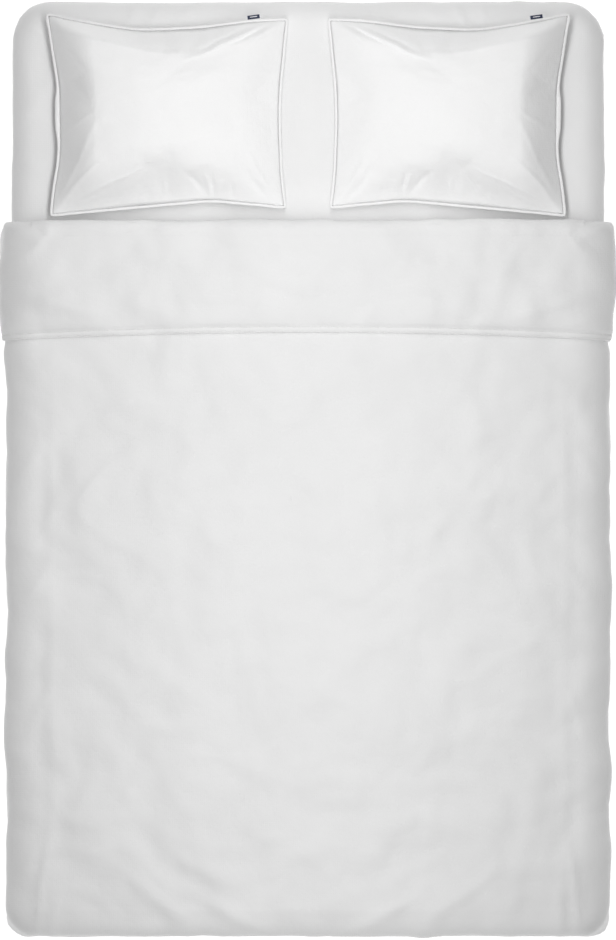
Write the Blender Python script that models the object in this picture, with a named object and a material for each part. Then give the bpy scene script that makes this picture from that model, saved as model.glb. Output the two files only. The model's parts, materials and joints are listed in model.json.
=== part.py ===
"""A made-up double bed's soft parts: mattress and topper, fitted sheet, duvet with its head end
turned down, and two pillows.

X runs across the bed, +Y to its head, +Z up, in metres. The origin is the middle of the mattress's
underside. The duvet, its turned-down end, each pillow and each label are bodies that move.
"""

import math

import bmesh
import bpy
from mathutils import Vector

# Mattress and topper
MATTRESS_WIDTH = 1.40
MATTRESS_LENGTH = 2.20
MATTRESS_HEIGHT = 0.27
TOPPER_HEIGHT = 0.07
PLAN_CORNER_RADIUS = 0.09
TOP_EDGE_RADIUS = 0.05
TICKING = 0.003
TAPE_WIDTH = 0.009
TAPE_HEIGHT = 0.010
BASE_FOAM_HEIGHT = 0.025
COMFORT_FOAM_HEIGHT = 0.055
TOPPER_SEAM_DROP = 0.0057  # below the rounded top edge

# Fitted sheet
SHEET_THICKNESS = 0.001
SHEET_HEM_HEIGHT = 0.022
ELASTIC_WIDTH = 0.008
ELASTIC_THICKNESS = 0.0015

# Duvet
COVER_WIDTH = 2.00
COVER_THICKNESS = 0.001
INSERT_LOFT = 0.024
INSERT_SIDE_LOFT = 0.012
FOOT_CORNER_FLAT = 0.010  # between a foot corner's centre and where the top edge starts to round
FOOT_LEAN = math.radians(70)
FOOT_DROP = 0.022
HEM_WIDTH = 0.018
HEM_PLY = 0.001
SEAM_WIDTH = 0.005
SEAM_THICKNESS = 0.002
BUTTON_DIAMETER = 0.011
BUTTON_THICKNESS = 0.002
BUTTON_COUNT = 7
BUTTON_PITCH = 0.18
BUTTON_SIDES = 12

# Turned-down head end
FOLD_FROM_HEAD = 0.521
TURNED_DEPTH = 0.270  # from the fold line to the free edge
FREE_EDGE_DROOP = 0.012
TURNED_LOFT = 0.020
TURNED_SIDE_LOFT = 0.009

# Pillows
PILLOW_LENGTH = 0.561
PILLOW_WIDTH = 0.471
PILLOW_CROWN = 0.098
PILLOW_SINK = 0.034
PILLOW_APART = 0.669
PILLOW_FROM_FOLD = 0.250
END_BOW = 0.012
EDGE_BOW = 0.027
CASE_THICKNESS = 0.001
FLAP_INSET = 0.004
INNER_INSET = 0.006
INNER_EDGE = 0.0006
RIM_WIDTH = 0.005
RIM_THICKNESS = 0.002

# Sewn-in labels
LABEL_WIDTH = 0.034
LABEL_LENGTH = 0.010
LABEL_THICKNESS = 0.0012
LABEL_PLACE = 7.6  # in steps of the pillow's grid along its head edge

# Clearances
TOUCH = 0.0003
LAID_ON = 0.0005
SEWN_ON = 0.002

# Steps that the curves are made in
CORNER_STEPS = 5
EDGE_STEPS = 4
DROP_STEPS = 2
ACROSS = 6
ALONG = 7
PILLOW_ACROSS = 10
PILLOW_ALONG = 8
FLAP_STEPS = 3
LABEL_ROOT_STEPS = 6

SIDES = ((-1, "left"), (1, "right"))

# Heights and offsets that follow. An offset is a distance out from the fitted sheet.
MATTRESS_TOP = MATTRESS_HEIGHT + TOPPER_HEIGHT
BED_TOP = MATTRESS_TOP + TOUCH + SHEET_THICKNESS
SHEET_OUT = TOUCH + SHEET_THICKNESS
FOLD_LINE = MATTRESS_LENGTH / 2 - FOLD_FROM_HEAD
FREE_EDGE = FOLD_LINE - TURNED_DEPTH


def layers(start, top_loft, side_loft):
    """(on top, at the side) offsets of a cover ply, the filling and the other ply, laid from start."""
    under = (start, start + COVER_THICKNESS)
    fill = under[1] + TOUCH
    plies = {"under": [(under[0], under[0]), (under[1], under[1])]}
    plies["fill"] = [(fill, fill), (fill + top_loft, fill + side_loft)]
    over = [offset + TOUCH for offset in plies["fill"][1]]
    plies["over"] = [tuple(over), tuple(offset + COVER_THICKNESS for offset in over)]
    return plies


BODY = layers(LAID_ON, INSERT_LOFT, INSERT_SIDE_LOFT)
BODY_OUT = BODY["over"][1]


def turned_layers():
    """The same plies for the turned-down end, which lies on the duvet's top."""
    plies = layers(0.0, TURNED_LOFT, TURNED_SIDE_LOFT)
    lift = [offset + LAID_ON for offset in BODY_OUT]
    return {
        name: [(pair[0] + lift[0], pair[1] + lift[1]) for pair in pairs]
        for name, pairs in plies.items()
    }


TURNED = turned_layers()
FOLD_AXIS_Y = FOLD_LINE - BODY_OUT[0]
FOLD_AXIS_Z = BED_TOP + BODY_OUT[0] + LAID_ON / 2

FLAT_X = MATTRESS_WIDTH / 2 + SHEET_OUT - TOP_EDGE_RADIUS - FOOT_CORNER_FLAT
FLAT_Y = MATTRESS_LENGTH / 2 + SHEET_OUT - TOP_EDGE_RADIUS - FOOT_CORNER_FLAT


def side_drop(side_offset):
    """How far cloth of the cover's width hangs below the mattress's rounded edge."""
    over_edge = math.pi / 2 * (TOP_EDGE_RADIUS + side_offset)
    return COVER_WIDTH / 2 - (FLAT_X + FOOT_CORNER_FLAT) - over_edge - SEAM_WIDTH


COTTON = ("white_cotton", (0.86, 0.86, 0.86), 0.9)
TURNED_COTTON = ("turned_white_cotton", (0.88, 0.88, 0.88), 0.9)
SHEET_COTTON = ("sheet_cotton", (0.82, 0.82, 0.82), 0.9)
CASE_COTTON = ("pillowcase_cotton", (0.87, 0.87, 0.87), 0.9)
SHELL_COTTON = ("insert_cotton", (0.78, 0.78, 0.76), 0.9)
KNIT = ("mattress_ticking", (0.72, 0.72, 0.70), 0.95)
TAPE = ("tape", (0.60, 0.60, 0.58), 0.85)
FOAM = ("foam", (0.80, 0.74, 0.55), 0.95)
SPRING_POCKETS = ("spring_pockets", (0.62, 0.64, 0.66), 0.9)
RUBBER = ("elastic", (0.70, 0.70, 0.70), 0.8)
SHELL_BUTTON = ("button", (0.75, 0.74, 0.70), 0.35)
NAVY_RIBBON = ("navy_ribbon", (0.02, 0.03, 0.09), 0.7)


# Blender objects


def clear_scene():
    for item in list(bpy.data.objects):
        bpy.data.objects.remove(item, do_unlink=True)


def material(name, colour, roughness):
    made = bpy.data.materials.get(name) or bpy.data.materials.new(name)
    made.use_nodes = True
    shader = made.node_tree.nodes["Principled BSDF"]
    shader.inputs["Base Color"].default_value = (*colour, 1.0)
    shader.inputs["Roughness"].default_value = roughness
    shader.inputs["Metallic"].default_value = 0.0
    return made


def empty(name, place, parent=None):
    """A body's frame. Its location is measured from its parent's."""
    made = bpy.data.objects.new(name, None)
    made.location = Vector(place) - (world_place(parent) if parent else Vector())
    made.parent = parent
    bpy.context.collection.objects.link(made)
    return made


def world_place(item):
    """Where an unturned object lies, from its own and its parents' locations."""
    place = Vector()
    while item:
        place += item.location
        item = item.parent
    return place


def add_solid(name, points, faces, look, parent):
    """A closed mesh with its points given in the world, in its body's frame, facing out."""
    origin = world_place(parent)
    mesh = bpy.data.meshes.new(name)
    mesh.from_pydata([Vector(point) - origin for point in points], [], faces)
    shape = bmesh.new()
    shape.from_mesh(mesh)
    bmesh.ops.recalc_face_normals(shape, faces=shape.faces)
    if shape.calc_volume(signed=True) < 0:
        bmesh.ops.reverse_faces(shape, faces=shape.faces)
    shape.to_mesh(mesh)
    shape.free()
    mesh.shade_smooth()
    mesh.set_sharp_from_angle(angle=math.radians(40))
    mesh.materials.append(material(*look))
    made = bpy.data.objects.new(name, mesh)
    made.parent = parent
    bpy.context.collection.objects.link(made)
    return made


# Rings: mattress, topper and sheet


def bed_ring(offset, height):
    """The mattress's outline, offset outwards, as points from its +X side round by its head."""
    radius = PLAN_CORNER_RADIUS + offset
    half_x = MATTRESS_WIDTH / 2 + offset - radius
    half_y = MATTRESS_LENGTH / 2 + offset - radius
    points = []
    for corner, (side, end) in enumerate([(1, 1), (-1, 1), (-1, -1), (1, -1)]):
        for step in range(CORNER_STEPS + 1):
            angle = math.pi / 2 * (corner + step / CORNER_STEPS)
            x = side * half_x + radius * math.cos(angle)
            y = end * half_y + radius * math.sin(angle)
            points.append((x, y, height))
    return points


def stack(rings, joined=False):
    """Points and faces through like rings: each end capped, or the last ring joined to the first."""
    count = len(rings[0])
    points = [point for ring in rings for point in ring]
    faces = []
    for level in range(len(rings) if joined else len(rings) - 1):
        below = level * count
        above = (level + 1) % len(rings) * count
        for here in range(count):
            after = (here + 1) % count
            faces.append((below + here, below + after, above + after, above + here))
    if not joined:
        faces.append(tuple(range(count)))
        faces.append(tuple(range(len(points) - count, len(points))))
    return points, faces


def block(offset, low, high):
    return stack([bed_ring(offset, low), bed_ring(offset, high)])


def hoop(inner, outer, low, high):
    """A flat-sided ring right round the mattress."""
    section = [(inner, low), (outer, low), (outer, high), (inner, high)]
    return stack([bed_ring(offset, height) for offset, height in section], joined=True)


def rounded_top(offset, top, hem):
    """Rings from a flat top, over the mattress's rounded top edge and down to a hem."""
    radius = TOP_EDGE_RADIUS + offset
    rings = []
    for step in range(EDGE_STEPS + 1):
        angle = math.pi / 2 * step / EDGE_STEPS
        out = offset - radius * (1 - math.sin(angle))
        rings.append(bed_ring(out, top - radius * (1 - math.cos(angle))))
    rings.append(bed_ring(offset, hem))
    return rings


def lid(offset, thickness, top, hem):
    """A thin lid whose outer face has this offset and top."""
    inside = rounded_top(offset - thickness, top - thickness, hem)
    return stack(rounded_top(offset, top, hem) + inside[::-1])


def make_mattress(bed):
    inner = -TICKING - TOUCH
    core_low = TICKING + TOUCH + BASE_FOAM_HEIGHT + TOUCH
    top_ticking = MATTRESS_HEIGHT - TICKING
    comfort_low = top_ticking - TOUCH - COMFORT_FOAM_HEIGHT
    tape_in = -TAPE_WIDTH
    panel = tape_in - TOUCH
    above_tape = TAPE_HEIGHT + TOUCH
    below_tape = MATTRESS_HEIGHT - TAPE_HEIGHT - TOUCH
    add_solid("mattress_ticking_base", *block(panel, 0.0, TICKING), KNIT, bed)
    add_solid("mattress_tape_edge_lower", *hoop(tape_in, 0.0, TOUCH, TAPE_HEIGHT), TAPE, bed)
    add_solid("mattress_ticking_border", *hoop(-TICKING, 0.0, above_tape, below_tape), KNIT, bed)
    upper = hoop(tape_in, 0.0, below_tape + TOUCH, MATTRESS_HEIGHT - TOUCH)
    add_solid("mattress_tape_edge_upper", *upper, TAPE, bed)
    add_solid("mattress_ticking_top", *block(panel, top_ticking, MATTRESS_HEIGHT), KNIT, bed)
    base = block(panel, TICKING + TOUCH, core_low - TOUCH)
    add_solid("mattress_base_foam", *base, FOAM, bed)
    core = block(inner, core_low, comfort_low - TOUCH)
    add_solid("mattress_spring_core", *core, SPRING_POCKETS, bed)
    comfort = block(panel, comfort_low, top_ticking - TOUCH)
    add_solid("mattress_comfort_foam", *comfort, FOAM, bed)


def make_topper(bed):
    low = MATTRESS_HEIGHT + TOUCH
    seam = MATTRESS_TOP - TOP_EDGE_RADIUS - TOPPER_SEAM_DROP
    tray = [bed_ring(0.0, low), bed_ring(0.0, seam)]
    tray += [bed_ring(-TICKING, seam), bed_ring(-TICKING, low + TICKING)]
    add_solid("topper_cover_base", *stack(tray), KNIT, bed)
    cover = lid(0.0, TICKING, MATTRESS_TOP, seam + TOUCH)
    add_solid("topper_cover_top", *cover, KNIT, bed)
    inner = TICKING + TOUCH
    foam = rounded_top(-inner, MATTRESS_TOP - inner, low + inner)
    add_solid("topper_foam", *stack(foam), FOAM, bed)


def make_sheet(bed):
    sheet = lid(SHEET_OUT, SHEET_THICKNESS, BED_TOP, SHEET_HEM_HEIGHT)
    add_solid("fitted_sheet", *sheet, SHEET_COTTON, bed)
    high = SHEET_HEM_HEIGHT - TOUCH
    band = hoop(TOUCH, TOUCH + ELASTIC_THICKNESS, high - ELASTIC_WIDTH, high)
    add_solid("fitted_sheet_elastic", *band, RUBBER, bed)


# Drape: the duvet's flat top and the columns of points that fall from its edges


def column(place, way, lean, drop):
    """Where cloth leaves the flat top, which way it goes, how steeply it ends and how far it hangs."""
    return {"place": place, "way": way, "lean": lean, "drop": drop}


def side_column(side, y, drop):
    return column((side * FLAT_X, y), (side, 0.0), math.pi / 2, drop)


def foot_columns(drop, foot_drop):
    """Round one foot corner, along the foot and round the other, from +X to -X."""
    found = []
    for side in (1, -1):
        turn = []
        for step in range(1, CORNER_STEPS):
            share = step / CORNER_STEPS
            angle = math.pi / 2 * share
            ease = share * share * (3 - 2 * share)
            way = (side * math.cos(angle), -math.sin(angle))
            lean = math.pi / 2 + (FOOT_LEAN - math.pi / 2) * ease
            hang = drop + (foot_drop - drop) * ease
            turn.append(column((side * FLAT_X, -FLAT_Y), way, lean, hang))
        if side > 0:
            found += turn
            for step in range(ACROSS + 1):
                x = FLAT_X * (1 - 2 * step / ACROSS)
                found.append(column((x, -FLAT_Y), (0.0, -1.0), FOOT_LEAN, foot_drop))
        else:
            found += turn[::-1]
    return found


def from_column(spot, offset, angle, fallen):
    """A point at this offset, so far round the mattress's edge and so far down the hang."""
    reach = TOP_EDGE_RADIUS + offset
    out = FOOT_CORNER_FLAT + reach * math.sin(angle) + fallen * math.cos(angle)
    height = reach * math.cos(angle) - TOP_EDGE_RADIUS - fallen * math.sin(angle)
    (x, y), (way_x, way_y) = spot["place"], spot["way"]
    return (x + way_x * out, y + way_y * out, BED_TOP + height)


def stations(spot, offsets):
    """One ply's points down a column, from where its rounded edge starts."""
    top, side = offsets
    points = []
    for step in range(EDGE_STEPS + 1):
        share = step / EDGE_STEPS
        offset = top + (side - top) * share
        points.append(from_column(spot, offset, spot["lean"] * share, 0.0))
    for step in range(1, DROP_STEPS + 1):
        fallen = spot["drop"] * step / DROP_STEPS
        points.append(from_column(spot, side, spot["lean"], fallen))
    return points


def ply(offsets, rows, runs):
    """An open sheet of points and faces: a flat top on these rows, with its runs of columns."""
    xs = [FLAT_X * (2 * step / ACROSS - 1) for step in range(ACROSS + 1)]
    points = [(x, y, BED_TOP + offsets[0]) for y in rows for x in xs]
    corner_of = {(round(p[0], 6), round(p[1], 6)): index for index, p in enumerate(points)}
    faces = []
    for row in range(len(rows) - 1):
        for here in range(ACROSS):
            first = row * (ACROSS + 1) + here
            faces.append((first, first + 1, first + ACROSS + 2, first + ACROSS + 1))
    for run in runs:
        strings = []
        for spot in run:
            x, y = spot["place"]
            string = [corner_of[(round(x, 6), round(y, 6))]]
            for point in stations(spot, offsets):
                string.append(len(points))
                points.append(point)
            strings.append(string)
        for one, other in zip(strings, strings[1:]):
            for level in range(len(one) - 1):
                # the same split in every ply keeps their faces level where a column twists
                halves = [
                    (one[level], one[level + 1], other[level + 1]),
                    (one[level], other[level + 1], other[level]),
                ]
                faces += [half for half in halves if len(set(half)) == 3]
    return points, faces


def between(lower, upper):
    """A closed solid between two open sheets of like faces."""
    (low_points, faces), (high_points, _) = lower, upper
    shift = len(low_points)
    edges = {}
    for face in faces:
        for one, other in zip(face, face[1:] + face[:1]):
            edges.setdefault(frozenset((one, other)), []).append((one, other))
    walls = [used[0] for used in edges.values() if len(used) == 1]
    solid = [face[::-1] for face in faces]
    solid += [tuple(index + shift for index in face) for face in faces]
    solid += [(one, other, other + shift, one + shift) for one, other in walls]
    return low_points + high_points, solid


def strip(columns, section):
    """A bar along the columns' ends: its section's corners are (offset, past the column's drop)."""
    rings = []
    for spot in columns:
        ends = [(offset, spot["drop"] + past) for offset, past in section]
        rings.append([from_column(spot, offset, spot["lean"], fallen) for offset, fallen in ends])
    return stack(rings)


def seam_section(offsets):
    """A sewn edge's section, half way through the layer's side thickness."""
    middle = (offsets["under"][0][1] + offsets["over"][1][1]) / 2
    near, far = middle - SEAM_THICKNESS / 2, middle + SEAM_THICKNESS / 2
    return [(near, TOUCH), (far, TOUCH), (far, SEAM_WIDTH), (near, SEAM_WIDTH)]


def make_duvet(duvet):
    rows = [-FLAT_Y + (FOLD_AXIS_Y + FLAT_Y) * step / ALONG for step in range(ALONG + 1)]
    drop = side_drop(BODY_OUT[1])
    names = {"under": "duvet_cover_underside", "fill": "duvet_insert", "over": "duvet_cover_top"}
    looks = {"under": COTTON, "fill": SHELL_COTTON, "over": COTTON}

    foot = foot_columns(drop, FOOT_DROP)
    run = [side_column(1, y, drop) for y in rows[::-1]] + foot
    run += [side_column(-1, y, drop) for y in rows]
    for layer, name in names.items():
        lower, upper = (ply(offsets, rows, [run]) for offsets in BODY[layer])
        add_solid(name, *between(lower, upper), looks[layer], duvet)

    for side, word in SIDES:
        line = [side_column(side, y, drop) for y in rows]
        seam = strip(line, seam_section(BODY))
        add_solid(f"duvet_cover_side_seam_{word}", *seam, COTTON, duvet)

    middle = (BODY["under"][0][1] + BODY_OUT[1]) / 2
    inner = BUTTON_THICKNESS / 2 + TOUCH
    outer = inner + HEM_PLY
    for name, near, far in (
        ("duvet_cover_foot_hem_upper", middle + inner, middle + outer),
        ("duvet_cover_foot_hem_under", middle - outer, middle - inner),
    ):
        section = [(near, SEWN_ON), (far, SEWN_ON), (far, HEM_WIDTH), (near, HEM_WIDTH)]
        add_solid(name, *strip(foot, section), COTTON, duvet)
    for number in range(BUTTON_COUNT):
        x = (number - (BUTTON_COUNT - 1) / 2) * BUTTON_PITCH
        button = foot_button(x, middle)
        add_solid(f"duvet_cover_button_{number + 1}", *button, SHELL_BUTTON, duvet)


def foot_button(x, offset):
    """A button on the foot's opening, lying between the two plies of its hem."""
    spot = column((x, -FLAT_Y), (0.0, -1.0), FOOT_LEAN, FOOT_DROP)
    rings = []
    for half in (-BUTTON_THICKNESS / 2, BUTTON_THICKNESS / 2):
        ring = []
        for step in range(BUTTON_SIDES):
            angle = 2 * math.pi * step / BUTTON_SIDES
            along = BUTTON_DIAMETER / 2 * math.cos(angle)
            down = FOOT_DROP + HEM_WIDTH / 2 + BUTTON_DIAMETER / 2 * math.sin(angle)
            _, y, z = from_column(spot, offset + half, FOOT_LEAN, down)
            ring.append((x + along, y, z))
        rings.append(ring)
    return stack(rings)


def drooped(points):
    """The free edge, drawn a little towards the foot where the turned-down end hangs at the sides."""
    length = FOLD_AXIS_Y - FREE_EDGE
    moved = []
    for x, y, z in points:
        share = min(abs(x) / (MATTRESS_WIDTH / 2), 1.0) ** 2
        moved.append((x, y - FREE_EDGE_DROOP * share * (FOLD_AXIS_Y - y) / length, z))
    return moved


def make_turn_down(turned):
    hem_start = FREE_EDGE + HEM_WIDTH
    rows = [hem_start + TOUCH + (FOLD_AXIS_Y - hem_start - TOUCH) * step / 3 for step in range(4)]
    drop = side_drop(TURNED["over"][1][1])
    names = {"under": "turn_down_lower", "fill": "turn_down_insert", "over": "turn_down_upper"}
    looks = {"under": COTTON, "fill": SHELL_COTTON, "over": TURNED_COTTON}
    runs = [[side_column(side, y, drop) for y in rows] for side in (1, -1)]
    for layer, name in names.items():
        lower, upper = (ply(offsets, rows, runs) for offsets in TURNED[layer])
        points, faces = between(lower, upper)
        add_solid(name, drooped(points), faces, looks[layer], turned)

    for side, word in SIDES:
        line = [side_column(side, y, drop) for y in rows]
        points, faces = strip(line, seam_section(TURNED))
        add_solid(f"turn_down_side_seam_{word}", drooped(points), faces, TURNED_COTTON, turned)

    hem_rows = [FREE_EDGE, hem_start]
    runs = [[side_column(side, y, drop) for y in hem_rows] for side in (1, -1)]
    low = TURNED["under"][0]
    high = tuple(offset + 2 * HEM_PLY for offset in low)
    points, faces = between(ply(low, hem_rows, runs), ply(high, hem_rows, runs))
    add_solid("turn_down_head_hem", drooped(points), faces, TURNED_COTTON, turned)


# Pillows


def grid_steps(count):
    """From -1 to 1, closer together at the ends, where a pillow's face turns down steeply."""
    return [math.sin(math.pi * (step / count - 0.5)) for step in range(count + 1)]


def pillow_face(inset, thinner, seam, front):
    """One face's points about the pillow's middle, inset from its edge and thinner by so much."""
    points = []
    for b in grid_steps(PILLOW_ALONG):
        for a in grid_steps(PILLOW_ACROSS):
            x = a * (PILLOW_LENGTH / 2 - inset - END_BOW * (1 - b * b))
            y = b * (PILLOW_WIDTH / 2 - inset - EDGE_BOW * (1 - a * a))
            if front:
                z = seam + (PILLOW_CROWN - thinner) * math.sqrt((1 - a * a) * (1 - b * b))
            else:
                z = -seam - (PILLOW_SINK - thinner) * math.sqrt((1 - a**4) * (1 - b**4))
            points.append((x, y, z))
    return points


def grid_faces(columns=range(PILLOW_ACROSS), rows=range(PILLOW_ALONG)):
    """The face grid's triangles, split the same way on every ply so that they nest."""
    width = PILLOW_ACROSS + 1
    faces = []
    for row in rows:
        for here in columns:
            start = row * width + here
            faces.append((start, start + 1, start + width + 1))
            faces.append((start, start + width + 1, start + width))
    return faces


def only_used(points, faces):
    used = sorted({index for face in faces for index in face})
    place = {index: number for number, index in enumerate(used)}
    return [points[index] for index in used], [tuple(place[i] for i in face) for face in faces]


def pillow_outline(outset, height):
    """The points round the pillow's edge, outset, anticlockwise from its foot corner at -X."""
    face = pillow_face(-outset, 0.0, height, front=True)
    width = PILLOW_ACROSS + 1
    near = [row * width for row in range(PILLOW_ALONG + 1)]
    order = list(range(width)) + [index + PILLOW_ACROSS for index in near[1:]]
    order += list(range(len(face) - 2, len(face) - width - 1, -1)) + near[-2:0:-1]
    return [(face[index][0], face[index][1], height) for index in order]


def moved(points, place):
    return [tuple(Vector(point) + Vector(place)) for point in points]


def make_pillow(name, side, body):
    place = world_place(body)
    place.z += PILLOW_SINK + LAID_ON + TOUCH
    half_seam = TOUCH / 2

    def shell(part, front):
        inner = (pillow_face(CASE_THICKNESS, CASE_THICKNESS, half_seam, front), grid_faces())
        outer = (pillow_face(0.0, 0.0, half_seam, front), grid_faces())
        points, faces = between(inner, outer)
        add_solid(f"{name}_{part}", moved(points, place), faces, CASE_COTTON, body)

    shell("case_front", True)
    shell("case_back", False)

    flap_thinner = CASE_THICKNESS + TOUCH
    last = PILLOW_ACROSS - 1
    columns = range(last - FLAP_STEPS, last) if side > 0 else range(1, 1 + FLAP_STEPS)
    flap_faces = grid_faces(columns, range(1, PILLOW_ALONG - 1))
    plies = [
        only_used(pillow_face(FLAP_INSET, thinner, half_seam, False), flap_faces)
        for thinner in (flap_thinner + CASE_THICKNESS, flap_thinner)
    ]
    points, faces = between(*plies)
    add_solid(f"{name}_case_flap", moved(points, place), faces, CASE_COTTON, body)

    inner_thinner = flap_thinner + CASE_THICKNESS + TOUCH
    back = pillow_face(INNER_INSET, inner_thinner, INNER_EDGE / 2, False)
    front = pillow_face(INNER_INSET, flap_thinner, INNER_EDGE / 2, True)
    points, faces = between((back, grid_faces()), (front, grid_faces()))
    add_solid(f"{name}_inner", moved(points, place), faces, SHELL_COTTON, body)

    half = RIM_THICKNESS / 2
    section = [(TOUCH, -half), (RIM_WIDTH, -half), (RIM_WIDTH, half), (TOUCH, half)]
    points, faces = stack([pillow_outline(out, up) for out, up in section], joined=True)
    add_solid(f"{name}_case_rim", moved(points, place), faces, CASE_COTTON, body)
    return place


def make_label(name, seam_place, parent):
    """A folded ribbon tab. Its root is half round about its hinge, just clear of the rim."""
    thick = LABEL_THICKNESS / 2
    edge = pillow_outline(RIM_WIDTH + TOUCH + thick, 0.0)
    width = PILLOW_ACROSS + 1
    first = int(LABEL_PLACE)
    head = edge[width + PILLOW_ALONG - 1 : width + PILLOW_ALONG + PILLOW_ACROSS]
    head = head[::-1]
    one, other = Vector(head[first]), Vector(head[first + 1])
    foot = one.lerp(other, LABEL_PLACE - first)
    section = [(LABEL_LENGTH - thick, -thick), (LABEL_LENGTH - thick, thick)]
    for step in range(LABEL_ROOT_STEPS + 1):
        turn = math.pi * step / LABEL_ROOT_STEPS
        section.append((-thick * math.sin(turn), thick * math.cos(turn)))
    rings = [[(x, y, z) for y, z in section] for x in (-LABEL_WIDTH / 2, LABEL_WIDTH / 2)]
    made = add_solid(name, *stack(rings), NAVY_RIBBON, None)
    made.parent = parent
    made.location = foot + seam_place - world_place(parent)
    made.rotation_euler.z = math.atan2(other.y - one.y, other.x - one.x)
    return made


def main():
    clear_scene()
    bed = empty("bed", (0.0, 0.0, 0.0))
    make_mattress(bed)
    make_topper(bed)
    make_sheet(bed)
    duvet = empty("duvet", (0.0, 0.0, 0.0), bed)
    make_duvet(duvet)
    turned = empty("turn_down", (0.0, FOLD_AXIS_Y, FOLD_AXIS_Z), duvet)
    make_turn_down(turned)
    for side, word in SIDES:
        place = (side * PILLOW_APART / 2, FOLD_LINE + PILLOW_FROM_FOLD, BED_TOP)
        body = empty(f"pillow_{word}", place, bed)
        seam = make_pillow(f"pillow_{word}", side, body)
        make_label(f"pillow_{word}_label", seam, body)


main()
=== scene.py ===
"""A dressed double bed: a fitted sheet, two pillows, and a filled duvet with its head end folded back.

Run as a script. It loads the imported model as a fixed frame, and makes each piece of cloth round it.
"""

import json
import math
from types import SimpleNamespace

import bmesh
import bpy
import numpy as np
from bpy.props import FloatProperty, IntProperty, PointerProperty, StringProperty
from mathutils import Matrix, Vector


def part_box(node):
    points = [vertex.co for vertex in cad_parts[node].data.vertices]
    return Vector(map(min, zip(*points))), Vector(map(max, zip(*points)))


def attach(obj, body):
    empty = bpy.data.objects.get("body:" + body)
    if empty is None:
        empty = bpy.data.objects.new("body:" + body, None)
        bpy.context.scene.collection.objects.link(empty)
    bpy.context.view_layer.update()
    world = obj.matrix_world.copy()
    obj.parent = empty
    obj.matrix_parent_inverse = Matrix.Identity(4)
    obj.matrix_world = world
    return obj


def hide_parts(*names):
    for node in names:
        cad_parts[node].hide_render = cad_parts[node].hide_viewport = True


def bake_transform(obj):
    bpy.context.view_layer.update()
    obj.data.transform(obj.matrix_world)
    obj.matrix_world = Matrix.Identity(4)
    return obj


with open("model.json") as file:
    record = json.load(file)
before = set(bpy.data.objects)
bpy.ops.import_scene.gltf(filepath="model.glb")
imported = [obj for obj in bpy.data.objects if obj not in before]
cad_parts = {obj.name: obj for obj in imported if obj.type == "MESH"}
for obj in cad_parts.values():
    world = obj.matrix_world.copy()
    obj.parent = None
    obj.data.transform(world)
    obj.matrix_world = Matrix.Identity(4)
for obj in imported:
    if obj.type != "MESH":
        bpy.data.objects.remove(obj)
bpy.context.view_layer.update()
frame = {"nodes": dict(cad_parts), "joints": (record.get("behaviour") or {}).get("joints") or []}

bl_info = {
    "name": "Dressed Bed",
    "version": (1, 0, 0),
    "blender": (4, 5, 0),
    "location": "View3D > Sidebar > Dressed Bed",
    "description": "Makes the duvet, pillows and sheet of a dressed double bed round its packed frame",
    "category": "Object",
}

# Places that the frame gives
SHEET_LOW, SHEET_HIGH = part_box("fitted_sheet")
BED_TOP = SHEET_HIGH.z
COVER_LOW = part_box("duvet_cover_top")[0]
BAND_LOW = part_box("turn_down_upper")[0]
JOINTS = {joint["name"]: joint for joint in frame["joints"]}
FOLD_Y, FOLD_Z = JOINTS["turn_down_fold"]["pos_m"][1:]

# How the cloth bends over the mattress's edge
EDGE_RADIUS = 0.05
CORNER_MARGIN = 0.010
SHEET_MARGIN = 0.0413
PLY = 0.008
FLAT_X = SHEET_HIGH.x - EDGE_RADIUS - CORNER_MARGIN
FLAT_FOOT = SHEET_LOW.y + EDGE_RADIUS + CORNER_MARGIN
QUARTER = math.pi / 2
FOOT_LEAN = math.radians(70)
SIDE_DROP = BED_TOP - EDGE_RADIUS - COVER_LOW.z + 0.004
BAND_DROP = BED_TOP - EDGE_RADIUS - BAND_LOW.z + 0.004
FOOT_DROP = 0.024

# How far the cloth runs from the flat top to its hem
SIDE_RUN = CORNER_MARGIN + QUARTER * (EDGE_RADIUS + PLY) + SIDE_DROP
BAND_RUN = CORNER_MARGIN + QUARTER * (EDGE_RADIUS + PLY) + BAND_DROP
FOOT_RUN = CORNER_MARGIN + FOOT_LEAN * (EDGE_RADIUS + PLY) + FOOT_DROP

# Distances out from the sheet, on top and at the sides
UNDER = 0.0006
OVER_TOP, OVER_SIDE = 0.0262, 0.0150
LAID = 0.0006
BAND_TOP_LOFT, BAND_SIDE_LOFT = 0.0222, 0.0112
NOSE = FOLD_Z - BED_TOP - UNDER / 2
FOLD_STANDS_OUT = 0.004
FREE_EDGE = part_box("turn_down_head_hem")[0].y + 0.012
HEM_BOW = 0.007
BAND_DEPTH = FOLD_Y - FREE_EDGE

# Hems and seams
HEM = 0.017
STITCH_ROWS = (0.0035, 0.0135)
HEM_HALF = 0.0021
BAND_HEM = 0.0068
GROOVE_DEPTH, GROOVE_WIDTH = 0.0013, 0.0013
SEAM_ROLL = 0.024
EDGE_ROWS = np.array([0, 1.2, 2.4, 3.6, 4.8, 6.5, 9, 11, 12.4, 13.6, 14.8, 17, 20, 24, 29, 35, 42]) / 1000

# The inserts lie inside their covers: how far their edges, their ends and their faces stay back
INSERT_EDGE, INSERT_END = 0.030, 0.012
INSERT_ROLL, INSERT_CELL = 0.016, 0.018
DUVET_INSERT_SKIN, BAND_INSERT_SKIN = 0.0045, 0.0032
INSERT_EDGE_ROWS = np.array([0, 4, 9, 16]) / 1000

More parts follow.
